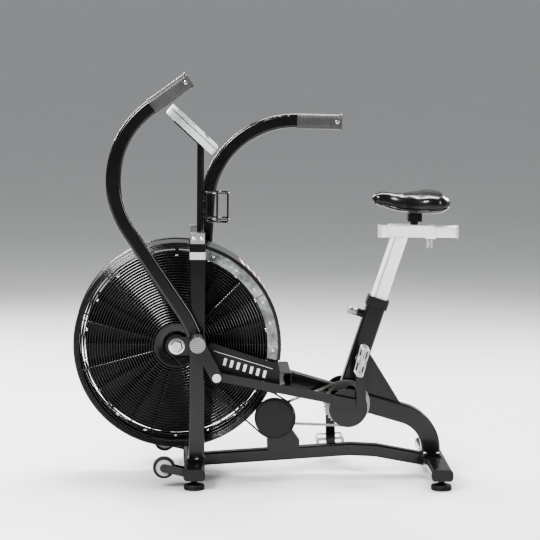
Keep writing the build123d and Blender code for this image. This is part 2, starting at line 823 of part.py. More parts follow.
guard_start = -8
guard_end = 74
guard_inner = drum_radius - 40
guard_wall = 2
guard_gap = 1.5
with BuildPart() as wind_guard:
    outer = drum_radius + guard_gap + guard_wall
    with BuildSketch(side(drum_depth / 2 + guard_gap + guard_wall)):
        with BuildLine():
            first = along(drum_x, axle_height, guard_start, outer)
            middle = along(drum_x, axle_height, (guard_start + guard_end) / 2, outer)
            last = along(drum_x, axle_height, guard_end, outer)
            inner_first = along(drum_x, axle_height, guard_start, guard_inner)
            inner_middle = along(drum_x, axle_height, (guard_start + guard_end) / 2, guard_inner)
            inner_last = along(drum_x, axle_height, guard_end, guard_inner)
            ThreePointArc(first, middle, last)
            Line(last, inner_last)
            ThreePointArc(inner_last, inner_middle, inner_first)
            Line(inner_first, first)
        make_face()
    extrude(amount=drum_depth + 2 * guard_gap + 2 * guard_wall)
    add(disc(drum_x, axle_height, drum_radius + guard_gap, -drum_depth / 2 - guard_gap,
             drum_depth / 2 + guard_gap), mode=Mode.SUBTRACT)
    for y in (-upright_y, upright_y):
        add(block(upright_x - upright_size, upright_x + upright_size / 2 + 2, y - upright_size / 2,
                  y + upright_size / 2, 0, upright_height), mode=Mode.SUBTRACT)
save(wind_guard.part, "wind_guard")

# guard clips hold the guard onto the cage rims
clip_count = 5
with BuildPart() as guard_clips:
    for index in range(clip_count):
        angle = guard_start + 8 + index * (guard_end - guard_start - 34) / (clip_count - 1)
        x, z = along(drum_x, axle_height, angle, drum_radius - 12)
        add(disc(x, z, 5, -drum_depth / 2 - guard_gap, -drum_depth / 2))
        add(disc(x, z, 5, drum_depth / 2, drum_depth / 2 + guard_gap))

# ---- side covers: shields over the drive between the uprights and the crank
cover_thickness = 3
cover_y = rail_out
cover_front_x = upright_x + upright_size / 2 + 8
cover_rear_x = 40
cover_front_top = 449
cover_front_low = 350
cover_rear_top = 377
cover_rear_low = 277


def side_cover():
    with BuildPart() as piece:
        with BuildSketch(side(-cover_y)) as outline:
            with BuildLine():
                Polyline((cover_front_x, cover_front_low), (cover_front_x, cover_front_top),
                         (cover_rear_x, cover_rear_top), (cover_rear_x, cover_rear_low), close=True)
            make_face()
            fillet(outline.vertices(), 12)
        extrude(amount=cover_thickness)
    return piece.part


left_side_cover = side_cover()
with BuildPart() as side_covers:
    add(left_side_cover)
    add(mirrored(left_side_cover))
save(side_covers.part, "side_covers")

# ---- hub covers: shallow round caps over the ends of the fan axle
hub_cap_radius = 30
hub_cap_height = 5
with BuildPart() as hub_caps:
    add(disc(drum_x, axle_height, hub_cap_radius - 4, -upright_inner - hub_cap_height, -upright_inner))
    add(disc(drum_x, axle_height, hub_cap_radius - 4, upright_inner, upright_inner + hub_cap_height))

# ---- mast and console
mast_radius = 11
mast_x = upright_x + 9
console_length = 195
console_thick = 30
console_width = 170
console_tilt = 42.5
console_x = upright_x - 18
console_z = bridge_top + 321
mast_top = console_z - 20
plate_thickness = 6
console_plane = Plane(origin=(console_x, 0, console_z), x_dir=(0, 1, 0),
                      z_dir=(sin(radians(console_tilt)), 0, cos(radians(console_tilt))))
with BuildPart() as mast:
    with BuildSketch(Plane.XY.offset(bridge_top)):
        with Locations((mast_x, 0)):
            Circle(mast_radius)
            Circle(mast_radius - 2, mode=Mode.SUBTRACT)
    extrude(amount=mast_top - bridge_top)
    with BuildSketch(console_plane.offset(-console_thick / 2 - plate_thickness)):
        Rectangle(400, 400)
    extrude(amount=300, mode=Mode.SUBTRACT)

bezel_height = 8
with BuildPart() as mast_and_plate:
    add(mast.part)
    with BuildSketch(console_plane.offset(-console_thick / 2 - plate_thickness)):
        RectangleRounded(70, 140, 8)
    extrude(amount=plate_thickness)
save(mast_and_plate.part, "mast")
with BuildPart() as console_case:
    with BuildSketch(console_plane.offset(-console_thick / 2)):
        RectangleRounded(console_width, console_length, 12)
    extrude(amount=console_thick - bezel_height)
save(console_case.part, "console_case")

screen_width = 120
screen_height = 80
screen_shift = 38
button_radius = 8
button_travel = 1.5
button_height = 4
button_spots = [(-40, -48), (0, -48), (40, -48)]
button_room = 0.25
with BuildPart() as console_bezel:
    with BuildSketch(console_plane.offset(console_thick / 2 - bezel_height)):
        RectangleRounded(console_width, console_length, 12)
        with Locations((0, screen_shift)):
            Rectangle(screen_width, screen_height, mode=Mode.SUBTRACT)
        with Locations(*button_spots):
            Circle(button_radius + button_room, mode=Mode.SUBTRACT)
    extrude(amount=bezel_height)
save(console_bezel.part, "console_bezel")
with BuildPart() as console_screen:
    with BuildSketch(console_plane.offset(console_thick / 2 - bezel_height)):
        with Locations((0, screen_shift)):
            Rectangle(screen_width, screen_height)
    extrude(amount=bezel_height - 2)
save(console_screen.part, "console_screen")
button_base = console_thick / 2 - bezel_height + button_travel + 0.5
for number, spot in enumerate(button_spots, start=1):
    with BuildPart() as button:
        with BuildSketch(console_plane.offset(button_base)):
            with Locations(spot):
                Circle(button_radius)
        extrude(amount=console_thick / 2 - button_base + button_height - 1.5)
    save(button.part, f"button_{number}")

# ---- bottle holder: a bent wire basket behind the mast
holder_low = bridge_top + 22
holder_high = bridge_top + 119
holder_radius = 37
holder_wire = 2.5
holder_x = mast_x + mast_radius + holder_radius + 2 * holder_wire + 1
with BuildPart() as bottle_holder:
    for height in (holder_low + 14, holder_high):
        with BuildSketch(Plane.XY.offset(height - holder_wire)):
            with Locations((holder_x, 0)):
                Circle(holder_radius + 2 * holder_wire)
                Circle(holder_radius, mode=Mode.SUBTRACT)
        extrude(amount=2 * holder_wire)
    with BuildSketch(Plane.XY.offset(holder_low)):
        with Locations((holder_x, 0)):
            with PolarLocations(holder_radius + holder_wire, 6, start_angle=30):
                Circle(holder_wire)
    extrude(amount=holder_high - holder_low)
    with BuildSketch(Plane.XY.offset(holder_low)):
        with Locations((holder_x, 0)):
            for turn in (30, 90, 150):
                Rectangle(2 * holder_radius + 2 * holder_wire, 2 * holder_wire, rotation=turn)
    extrude(amount=2 * holder_wire)
    with Locations((mast_x + mast_radius, 0, (holder_low + holder_high) / 2 + 4)):
        Box(holder_x - holder_radius - mast_x - mast_radius, 20, holder_high - holder_low - 8,
            align=(Align.MIN, Align.CENTER, Align.CENTER))
save(bottle_holder.part, "bottle_holder")

# ---- arm pivots: a fixed stub axle through each upright, ending in a knurled foot peg
peg_radius = 25
peg_in = arm_out + 6
peg_out = overall_width / 2 - 4
with BuildPart() as pivot_shaft:
    add(disc(upright_x, pivot_height, pivot_radius, -peg_in, -upright_inner))
    add(disc(upright_x, pivot_height, pivot_radius + 8, -rod_out, -upright_outer))
    add(disc(upright_x, pivot_height, peg_radius, -peg_out, -peg_in))
with BuildPart() as pivot_shafts:
    add(pivot_shaft.part)
    add(mirrored(pivot_shaft.part))
save(pivot_shafts.part, "foot_pegs")

# ---- arms: a bent flat-sided tube from the pivot up to a level grip, with a lever below the pivot
hub_radius = 27
arm_wall = 2.5
root_end = along(upright_x, pivot_height, arm_root_angle, arm_root)
arm_knee = along(root_end[0], root_end[1], arm_leg_angle, arm_leg)
grip_end = along(arm_knee[0], arm_knee[1], arm_grip_angle, arm_reach)
grip_start = along(arm_knee[0], arm_knee[1], arm_grip_angle, arm_reach - grip_length)
lever_pin = along(upright_x, pivot_height, lever_angle, lever_length)
arm_mid = (arm_in + arm_out) / 2
rod_bolt_radius = 8
lever_width = 38


def bent_arm(depth, width):
    """The arm's tube as a solid bar of this section, from inside its hub to the grip's end."""
    start = along(upright_x, pivot_height, arm_root_angle, hub_radius - 4)
    with BuildPart() as piece:
        with BuildLine(Plane.XZ.offset(arm_mid)) as path:
            FilletPolyline(start, root_end, arm_knee, grip_end, radius=(arm_root_bend, arm_top_bend))
        with BuildSketch(Plane(origin=path.wires()[0] @ 0, x_dir=(0, 1, 0), z_dir=path.wires()[0] % 0)):
            RectangleRounded(width, depth, min(width, depth) / 2 - 2.5)
        sweep(path=path.wires()[0])
    return piece.part


with BuildPart() as left_arm:
    add(bent_arm(arm_depth, arm_width))
    add(bent_arm(arm_depth - 2 * arm_wall, arm_width - 2 * arm_wall), mode=Mode.SUBTRACT)
    add(disc(upright_x, pivot_height, hub_radius, -arm_out, -arm_in))
    add(link((upright_x, pivot_height), lever_pin, lever_width, -arm_out + 2, -arm_in))
    add(disc(upright_x, pivot_height, pivot_radius + running, -arm_out, -arm_in), mode=Mode.SUBTRACT)
    add(disc(lever_pin[0], lever_pin[1], rod_bolt_radius, -arm_out, -arm_in), mode=Mode.SUBTRACT)
bolt = disc(lever_pin[0], lever_pin[1], rod_bolt_radius, -arm_out + 2, -arm_in)
head = disc(lever_pin[0], lever_pin[1], 14, -arm_out - 6, -arm_out + 2)
with BuildPart() as rod_bolt:
    add(bolt)
    add(head)
grip_wall = 3
grip_plane = Plane(origin=(grip_start[0], -arm_mid, grip_start[1]), x_dir=(0, 1, 0),
                   z_dir=(cos(radians(arm_grip_angle)), 0, sin(radians(arm_grip_angle))))
with BuildPart() as grip:
    with BuildSketch(grip_plane):
        RectangleRounded(arm_width + 2 * grip_wall, arm_depth + 2 * grip_wall, arm_width / 2)
        RectangleRounded(arm_width, arm_depth, arm_width / 2 - 2.5, mode=Mode.SUBTRACT)
    extrude(amount=grip_length)
end_plate = 4
with BuildPart() as grip_with_end:
    add(grip.part)
    with BuildSketch(grip_plane.offset(grip_length)):
        RectangleRounded(arm_width + 2 * grip_wall + 6, arm_depth + 2 * grip_wall + 6, arm_width / 2)
    extrude(amount=end_plate)
for part, name in ((left_arm.part, "arm"), (rod_bolt.part, "rod_bolt"), (grip_with_end.part, "grip")):
    save(part, "left_" + name)
    save(swung(mirrored(part), upright_x, pivot_height, arm_swing), "right_" + name)

# ---- connecting rods: from each arm's lever to the crank pin, turning on bushes at the crank
eye_radius = 20
pin_room = pin_size + running


def rod(start, end):
    with BuildPart() as piece:
        add(link(start, end, rod_depth, -rod_out, -rod_in))
        for point in (start, end):
            add(disc(point[0], point[1], eye_radius, -rod_out, -rod_in))
        add(disc(end[0], end[1], pin_room, -rod_out, -rod_in), mode=Mode.SUBTRACT)
        add(disc(start[0], start[1], rod_bolt_radius + 1, -rod_out, -rod_in), mode=Mode.SUBTRACT)
    return piece.part


right_lever_pin = along(upright_x, pivot_height, lever_angle - arm_swing, lever_length)
save(rod(lever_pin, left_throw), "left_rod")
save(mirrored(rod(right_lever_pin, right_throw)), "right_rod")

# ---- transport wheels at the front, just clear of the floor
wheel_radius = 35
wheel_width = 24
wheel_x = front_stabilizer_x - 95
wheel_z = 66
wheel_axle_radius = 5
fork_wall = 4
wheel_y = overall_width / 2 - 56
fork_gap = wheel_width + 3


def transport_wheel(y):
    with BuildPart() as piece:
        add(disc(wheel_x, wheel_z, wheel_radius, y - wheel_width / 2, y + wheel_width / 2,
                 wheel_axle_radius + running))
        fillet(piece.edges().filter_by(GeomType.CIRCLE).sort_by(SortBy.RADIUS)[-2:], 5)
    return piece.part


save(transport_wheel(-wheel_y), "left_wheel")
save(transport_wheel(wheel_y), "right_wheel")
fork_rear = front_stabilizer_x - stabilizer_width / 2
with BuildPart() as wheel_forks:
    for y in (-wheel_y, wheel_y):
        for cheek in (-1, 1):
            middle = y + cheek * (fork_gap + fork_wall) / 2
            add(link((wheel_x, wheel_z), (fork_rear + 12, beam_z), 26, middle - fork_wall / 2,
                     middle + fork_wall / 2, (wheel_axle_radius, 0)))
    with BuildSketch(side(overall_width)):
        with Locations((front_stabilizer_x, beam_z)):
            RectangleRounded(stabilizer_width, stabilizer_height, 12)
    extrude(amount=2 * overall_width, mode=Mode.SUBTRACT)
with BuildPart() as forks_and_axles:
    add(wheel_forks.part)
    for y in (-wheel_y, wheel_y):
        half = fork_gap / 2 + fork_wall
        add(disc(wheel_x, wheel_z, wheel_axle_radius, y - half - 4, y + half + 4))
save(forks_and_axles.part, "wheel_forks")

# ---- fasteners: the bolt heads of the frame, the axle's end caps and the guard's clips
with BuildPart() as frame_bolts:
    for spot in fasteners:
        with Locations(spot):
            Cylinder(head_radius, head_height, align=(Align.CENTER, Align.CENTER, Align.MIN))
    add(hub_caps.part)
    add(guard_clips.part)
save(frame_bolts.part, "frame_bolts")
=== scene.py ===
import json
from math import asin, atan2, cos, degrees, hypot, pi, radians, sin, sqrt

import bmesh
import bpy
from mathutils import Matrix, Quaternion, Vector


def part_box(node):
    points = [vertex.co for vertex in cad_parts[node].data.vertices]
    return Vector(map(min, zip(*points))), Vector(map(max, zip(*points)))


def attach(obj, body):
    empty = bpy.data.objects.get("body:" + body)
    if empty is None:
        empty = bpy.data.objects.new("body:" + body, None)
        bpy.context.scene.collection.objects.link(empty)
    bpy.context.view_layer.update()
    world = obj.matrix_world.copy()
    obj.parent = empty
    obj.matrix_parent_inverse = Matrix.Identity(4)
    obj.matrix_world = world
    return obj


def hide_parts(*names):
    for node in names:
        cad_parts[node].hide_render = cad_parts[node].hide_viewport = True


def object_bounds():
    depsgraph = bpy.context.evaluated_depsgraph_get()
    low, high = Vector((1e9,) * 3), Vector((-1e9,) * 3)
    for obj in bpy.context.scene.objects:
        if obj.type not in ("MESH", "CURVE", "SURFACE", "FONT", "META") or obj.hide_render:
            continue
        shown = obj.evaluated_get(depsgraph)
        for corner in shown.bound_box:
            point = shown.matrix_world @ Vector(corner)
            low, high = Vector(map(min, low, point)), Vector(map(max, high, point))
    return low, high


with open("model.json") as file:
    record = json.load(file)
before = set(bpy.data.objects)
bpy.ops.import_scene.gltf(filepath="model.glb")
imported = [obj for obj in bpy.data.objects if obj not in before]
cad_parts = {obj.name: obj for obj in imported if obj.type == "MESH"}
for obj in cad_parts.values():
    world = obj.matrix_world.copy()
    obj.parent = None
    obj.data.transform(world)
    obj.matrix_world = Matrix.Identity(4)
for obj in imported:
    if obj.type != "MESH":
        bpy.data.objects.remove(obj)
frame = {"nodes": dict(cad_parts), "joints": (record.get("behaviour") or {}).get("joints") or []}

cad_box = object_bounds()
nodes = frame["nodes"]

# ---- Studio ----------------------------------------------------------------------------------------
# A wide pale floor under soft lights, seen through a long lens from the rider's left at about eye
# height. Nothing here belongs to the bike.
floor_radius = 400
floor_mesh = bpy.data.meshes.new("studio_floor")
floor_mesh.from_pydata([(floor_radius * cos(turn * pi / 32), floor_radius * sin(turn * pi / 32), 0)
                        for turn in range(64)], [], [tuple(range(64))])
studio_floor = bpy.data.objects.new("studio_floor", floor_mesh)
bpy.context.scene.collection.objects.link(studio_floor)


def start_finish(name, colour, roughness, metallic=0.0, coat=0.0, coat_roughness=0.05):
    """A new material: its node tree, its shader with these plain values, and the piece's own coordinates."""
    material = bpy.data.materials.new(name)
    material.use_nodes = True
    tree = material.node_tree
    shader = tree.nodes["Principled BSDF"]
    plain_values = {"Base Color": (*colour, 1), "Roughness": roughness, "Metallic": metallic,
                    "Coat Weight": coat, "Coat Roughness": coat_roughness}
    for label, value in plain_values.items():
        shader.inputs[label].default_value = value
    material.diffuse_color = (*colour, 1)
    return material, tree, shader, tree.nodes.new("ShaderNodeTexCoord").outputs["Object"]


def put(tree, kind, settings=None, **inputs):
    """Adds a node, or a group by its name, and sets or joins the inputs that are given by name."""
    group = bpy.data.node_groups.get(kind)
    node = tree.nodes.new("ShaderNodeGroup" if group else kind)
    if group:
        node.node_tree = group
    for name, value in (settings or {}).items():
        setattr(node, name, value)
    for name, value in inputs.items():
        socket = node.inputs[name.replace("_", " ")]
        if isinstance(value, bpy.types.NodeSocket):
            tree.links.new(value, socket)
        else:
            socket.default_value = value
    return node


def mapped(tree, value, low, high, start=0.0, end=1.0):
    """The value stretched from start..end to low..high."""
    node = put(tree, "ShaderNodeMapRange", {"clamp": True}, Value=value)
    for name, number in (("From Min", start), ("From Max", end), ("To Min", low), ("To Max", high)):
        node.inputs[name].default_value = number
    return node.outputs["Result"]


def mixed(tree, factor, first, second):
    """Two colours, or a socket and a colour, mixed by a factor."""
    node = tree.nodes.new("ShaderNodeMix")
    node.data_type = "RGBA"
    for place, value in ((0, factor), (6, first), (7, second)):
        if isinstance(value, bpy.types.NodeSocket):
            tree.links.new(value, node.inputs[place])
        else:
            node.inputs[place].default_value = (*value, 1)
    return node.outputs[2]


def times(tree, first, second, operation="MULTIPLY"):
    """Two numbers put through a Math node."""
    node = tree.nodes.new("ShaderNodeMath")
    node.operation = operation
    for place, value in enumerate((first, second)):
        if isinstance(value, bpy.types.NodeSocket):
            tree.links.new(value, node.inputs[place])
        else:
            node.inputs[place].default_value = value
    return node.outputs[0]


def bumped(tree, shader, height, distance, strength=1.0):
    """Feeds a height in 0..1 that stands this many metres proud to the shader's normal."""
    node = put(tree, "ShaderNodeBump", None, Height=height, Distance=distance, Strength=strength)
    tree.links.new(node.outputs["Normal"], shader.inputs["Normal"])


def noise_of(tree, place, scale, detail=4.0, roughness=0.5):
    """Plain noise of this many waves to the metre."""
    node = put(tree, "ShaderNodeTexNoise", None, Vector=place, Scale=scale, Detail=detail,
               Roughness=roughness)
    return node.outputs["Fac"]


floor_paint, tree, shader, place = start_finish("studio_floor", (0.72, 0.72, 0.71), 0.55)
shade = noise_of(tree, place, 1.6)
tree.links.new(mixed(tree, shade, (0.7, 0.7, 0.695), (0.74, 0.74, 0.735)), shader.inputs["Base Color"])
floor_mesh.materials.append(floor_paint)

world = bpy.data.worlds.new("studio")
world.use_nodes = True
background = world.node_tree.nodes["Background"].inputs
background["Color"].default_value = (0.86, 0.88, 0.9, 1)
background["Strength"].default_value = 0.36
bpy.context.scene.world = world


def soft_light(name, place, aim, width, height, watts):
    """A rectangular studio light at a place, pointed at another."""
    lamp = bpy.data.lights.new(name, "AREA")
    lamp.shape = "RECTANGLE"
    lamp.size = width
    lamp.size_y = height
    lamp.energy = watts
    light = bpy.data.objects.new(name, lamp)
    light.location = place
    light.rotation_euler = (Vector(place) - Vector(aim)).to_track_quat("Z", "Y").to_euler()
    bpy.context.scene.collection.objects.link(light)


middle = (cad_box[0] + cad_box[1]) / 2
soft_light("key_light", (-2.4, -3.4, 3.4), middle, 2.2, 1.6, 270)
soft_light("fill_light", (3.2, -2.6, 1.8), middle, 1.6, 1.8, 60)
soft_light("top_light", (0.2, 0.6, 3.6), middle, 2.6, 1.4, 170)
soft_light("rim_light", (-1.8, 3.0, 2.4), middle, 0.7, 2.2, 110)
soft_light("rear_light", (2.6, 2.6, 2.2), middle, 0.7, 2.2, 90)

view_azimuth = radians(-2.1)
view_elevation = radians(6.5)
view_roll = radians(0.5)
view_distance = 8.5
view_aim = middle + Vector((0.013, 0, 0.012))
view_back = Vector((sin(view_azimuth) * cos(view_elevation), -cos(view_azimuth) * cos(view_elevation),
                    sin(view_elevation)))
lens = bpy.data.cameras.new("camera")
lens.lens = 176.3
lens.sensor_width = 36
camera = bpy.data.objects.new("camera", lens)
camera.rotation_mode = "QUATERNION"
camera.location = view_aim + view_back * view_distance
camera.rotation_quaternion = view_back.to_track_quat("Z", "Y") @ Quaternion((0, 0, 1), view_roll)
bpy.context.scene.collection.objects.link(camera)
bpy.context.scene.camera = camera
bpy.context.scene.view_settings.look = "AgX - High Contrast"

# ---- Painted frame ---------------------------------------------------------------------------------
# Square and flat steel tubes, cut, notched and welded, then powder coated in a thick gloss black that
# keeps a slight orange peel, light scuffs from handling and a little dust on what faces up.
frame_black = (0.0045, 0.0045, 0.005)


def new_effect(name, numbers, outputs):
    """An empty node group with a Vector input, named numbers with their usual values, and these outputs."""
    group = bpy.data.node_groups.new(name, "ShaderNodeTree")
    group.interface.new_socket("Vector", in_out="INPUT", socket_type="NodeSocketVector")
    for label, value in numbers.items():
        socket = group.interface.new_socket(label, in_out="INPUT", socket_type="NodeSocketFloat")
        socket.default_value = value
    for label in outputs:
        group.interface.new_socket(label, in_out="OUTPUT", socket_type="NodeSocketFloat")
    start = group.nodes.new("NodeGroupInput")
    end = group.nodes.new("NodeGroupOutput")
    return group, start.outputs, end.inputs


# orange peel: the low even waves of a baked powder coat, and the slow change of its gloss
group, given, result = new_effect("Orange peel", {"Waves": 420.0}, ("Height", "Tone"))
peel = put(group, "ShaderNodeTexNoise", None, Vector=given["Vector"], Scale=given["Waves"], Detail=2.0)
group.links.new(peel.outputs["Fac"], result["Height"])
group.links.new(noise_of(group, given["Vector"], 9.0, 5.0), result["Tone"])

# scuffs: short fine scratches from handling, in patches where hands, shoes and bottles touch
group, given, result = new_effect("Scuffs", {"Fineness": 60.0, "Amount": 0.5}, ("Mask",))
warp = put(group, "ShaderNodeMapping", None, Vector=given["Vector"], Scale=(1.0, 7.0, 0.35),
           Rotation=(0.5, 0.3, 0.8))
lines = put(group, "ShaderNodeTexNoise", None, Vector=warp.outputs["Vector"], Scale=given["Fineness"],
            Detail=6.0, Roughness=0.75, Distortion=0.6)
thin = mapped(group, lines.outputs["Fac"], 0.0, 1.0, 0.62, 0.7)
patches = mapped(group, noise_of(group, given["Vector"], 11.0, 3.0), 0.0, 1.0, 0.48, 0.68)
group.links.new(times(group, times(group, thin, patches), given["Amount"]), result["Mask"])

# dust: a thin grey film on what faces up, thicker in patches
group, given, result = new_effect("Dust", {"Amount": 0.4}, ("Mask",))
facing = put(group, "ShaderNodeSeparateXYZ", None,
             Vector=group.nodes.new("ShaderNodeTexCoord").outputs["Normal"])
upward = mapped(group, facing.outputs["Z"], 0.0, 1.0, 0.35, 1.0)
specks = mapped(group, noise_of(group, given["Vector"], 260.0, 6.0, 0.8), 0.1, 1.0, 0.5, 0.8)
group.links.new(times(group, times(group, upward, specks), given["Amount"]), result["Mask"])

# brushing: long fine lines of drawn, turned or brushed metal, along whichever way the stretch leaves long
group, given, result = new_effect("Brushing", {"Fineness": 900.0}, ("Height", "Tone"))
grain_lines = put(group, "ShaderNodeTexNoise", None, Vector=given["Vector"], Scale=given["Fineness"],
                  Detail=5.0, Roughness=0.65)
group.links.new(grain_lines.outputs["Fac"], result["Height"])
group.links.new(noise_of(group, given["Vector"], 30.0, 4.0), result["Tone"])

# pebble: the fine rounded grain of moulded plastic, rubber and vinyl
group, given, result = new_effect("Pebble", {"Grains": 700.0}, ("Height", "Tone"))
cells = put(group, "ShaderNodeTexVoronoi", {"feature": "SMOOTH_F1"}, Vector=given["Vector"],
            Scale=given["Grains"], Smoothness=0.6)
group.links.new(mapped(group, cells.outputs["Distance"], 1.0, 0.0, 0.0, 0.7), result["Height"])
group.links.new(noise_of(group, given["Vector"], 24.0, 5.0), result["Tone"])


def painted(name, colour, roughness=0.2, waves=420.0, scuffing=0.5, dusting=0.35):
    """Gloss powder coat over steel, in this colour."""
    material, tree, shader, place = start_finish(name, colour, roughness, coat=0.35)
    peel = put(tree, "Orange peel", None, Vector=place, Waves=waves)
    scuffs = put(tree, "Scuffs", None, Vector=place, Amount=scuffing).outputs["Mask"]
    dust = put(tree, "Dust", None, Vector=place, Amount=dusting).outputs["Mask"]
    lighter = tuple(channel * 1.5 + 0.001 for channel in colour)
    tone = mixed(tree, peel.outputs["Tone"], colour, lighter)
    worn = mixed(tree, scuffs, tone, tuple(channel + 0.03 for channel in colour))
    dusty = mixed(tree, times(tree, dust, 0.4), worn, (0.12, 0.115, 0.105))
    tree.links.new(dusty, shader.inputs["Base Color"])
    rough = mapped(tree, peel.outputs["Tone"], roughness * 0.75, roughness * 1.3, 0.3, 0.7)
    rough = times(tree, times(tree, times(tree, scuffs, 0.3), times(tree, dust, 0.25), "ADD"), rough, "ADD")
    tree.links.new(rough, shader.inputs["Roughness"])
    bumped(tree, shader, peel.outputs["Height"], 0.00012, 0.5)
    return material


def finish_nodes(material, *names):
    """Gives modelled nodes that stay as they are this finish."""
    for name in names:
        piece = nodes[name]
        piece.data.materials.clear()
        piece.data.materials.append(material)


frame_paint = painted("frame_paint", frame_black)
finish_nodes(frame_paint, "front_stabilizer", "rear_stabilizer", "left_upright", "right_upright", "bridge",
             "side_rails", "main_tube", "lower_beam", "seat_tube", "pedestal", "mast", "wheel_forks",
             "left_arm", "right_arm")

# ---- Welds, bolts and feet -------------------------------------------------------------------------
# Rippled weld beads round the crank shell and the feet of the uprights and the pedestal, plated
# hexagon bolts with washers, satin end caps, and round ribbed rubber shoes under the stabilizers.
joints = {joint["name"]: joint for joint in frame["joints"]}


def pivot_of(joint):
    return Vector(joints[joint]["pos_m"])


def skinned(bm, rings, slot=0, closed=False):
    """Joins rings of points one to the next, and caps the ends of an open row."""
    for low, high in zip(rings, rings[1:] + (rings[:1] if closed else [])):
        for turn in range(len(low)):
            other = (turn + 1) % len(low)
            bm.faces.new((low[turn], low[other], high[other], high[turn])).material_index = slot
    if not closed:
        for ring in (rings[0], rings[-1]):
            bm.faces.new(ring).material_index = slot


def turned(bm, profile, centre, axis=(0, 1, 0), steps=48, slot=0, closed=False):
    """A round piece: a profile of (distance along the axis, radius) turned about it."""
    axis = Vector(axis).normalized()
    across = axis.orthogonal().normalized()
    other = axis.cross(across)
    spokes = [across * cos(2 * pi * turn / steps) + other * sin(2 * pi * turn / steps)
              for turn in range(steps)]
    skinned(bm, [[bm.verts.new(Vector(centre) + axis * distance + spoke * radius) for spoke in spokes]
                 for distance, radius in profile], slot, closed)


def swept(bm, path, section, across, slot=0, closed=False, sizes=None):
    """A bar along points: its section is (a, b) pairs, a along the across direction, b square to it."""
    points = [Vector(point) for point in path]
    rings = []
    for index, point in enumerate(points):
        ahead = points[(index + 1) % len(points)] if closed or index + 1 < len(points) else point
        behind = points[index - 1] if closed or index else point
        heading = (ahead - behind).normalized()
        across = (Vector(across) - heading * heading.dot(Vector(across))).normalized()
        size = sizes[index] if sizes else 1
        rings.append([bm.verts.new(point + across * a * size + heading.cross(across) * b * size)
                      for a, b in section])
    skinned(bm, rings, slot, closed)


def round_section(radius, sides=8):
    """The section of a round wire."""
    return [(radius * cos(2 * pi * turn / sides), radius * sin(2 * pi * turn / sides))
            for turn in range(sides)]


def rounded(width, height, radius, steps=4):
    """The outline of a rectangle with rounded corners, about its middle."""
    corners = ((1, 1, 0), (-1, 1, 90), (-1, -1, 180), (1, -1, 270))
    return [(across * (width / 2 - radius) + radius * cos(radians(start + 90 * step / steps)),
             up * (height / 2 - radius) + radius * sin(radians(start + 90 * step / steps)))
            for across, up, start in corners for step in range(steps + 1)]


def slab(bm, outline, low, high, slot=0, place=None):
    """A flat piece: an outline of (x, z) points between two y, moved by a matrix if one is given."""
    place = place or Matrix()
    skinned(bm, [[bm.verts.new(place @ Vector((x, y, z))) for x, z in outline] for y in (low, high)], slot)


def sideways(centre, angle=0):
    """The matrix that turns a side-view slab by an angle in degrees and puts it at a point."""
    return Matrix.Translation(centre) @ Matrix.Rotation(-radians(angle), 4, "Y")


def finish_piece(bm, name, body, finishes, replaces=(), sharp=35):
    """Turns the drawn mesh into a shown piece of a body, with its finishes and the nodes it stands for."""
    bmesh.ops.recalc_face_normals(bm, faces=bm.faces)
    mesh = bpy.data.meshes.new(name)
    bm.to_mesh(mesh)
    bm.free()
    for finish in finishes:
        mesh.materials.append(finish)
    mesh.polygons.foreach_set("use_smooth", [True] * len(mesh.polygons))
    mesh.set_sharp_from_angle(angle=radians(sharp))
    piece = bpy.data.objects.new(name, mesh)
    bpy.context.scene.collection.objects.link(piece)
    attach(piece, body)
    if replaces:
        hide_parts(*replaces)
    return piece


def solids_of(node):
    """The lowest and highest corner of each separate solid of a modelled node."""
    bm = bmesh.new()
    bm.from_mesh(nodes[node].data)
    bmesh.ops.remove_doubles(bm, verts=bm.verts, dist=1e-5)
    found, left = [], set(bm.verts)
    while left:
        reached, island = [left.pop()], []
        while reached:
            vertex = reached.pop()
            island.append(vertex.co)
            for edge in vertex.link_edges:
                other = edge.other_vert(vertex)
                if other in left:
                    left.remove(other)
                    reached.append(other)
        found.append((Vector([min(point[axis] for point in island) for axis in range(3)]),
                      Vector([max(point[axis] for point in island) for axis in range(3)])))
    bm.free()
    return sorted(found, key=lambda corners: tuple(round(value, 4) for value in corners[0]))


line_depth = 0.00003


def metal(name, colour, roughness, stretch=(1, 1, 1), fineness=900.0, stain=0.3, bareness=1.0):
    """Bare or plated metal with drawn or turned lines, drying marks and a little wear."""
    material, tree, shader, place = start_finish(name, colour, roughness, metallic=1.0)
    drawn = put(tree, "ShaderNodeMapping", None, Vector=place, Scale=stretch).outputs["Vector"]
    lines = put(tree, "Brushing", None, Vector=drawn, Fineness=fineness)
    scuffs = put(tree, "Scuffs", None, Vector=place, Amount=0.15).outputs["Mask"]
    dust = put(tree, "Dust", None, Vector=place, Amount=stain).outputs["Mask"]
    darker = tuple(channel * 0.86 for channel in colour)
    tone = mixed(tree, mapped(tree, lines.outputs["Tone"], 0.0, 1.0, 0.3, 0.75), darker, colour)
    tree.links.new(mixed(tree, dust, tone, (0.16, 0.15, 0.14)), shader.inputs["Base Color"])
    rough = mapped(tree, lines.outputs["Height"], roughness * 0.85, roughness * 1.2, 0.3, 0.7)
    tree.links.new(times(tree, times(tree, scuffs, 0.25), rough, "ADD"), shader.inputs["Roughness"])
    tree.links.new(mapped(tree, dust, bareness, bareness / 2), shader.inputs["Metallic"])
    bumped(tree, shader, lines.outputs["Height"], line_depth, 0.25)
    return material


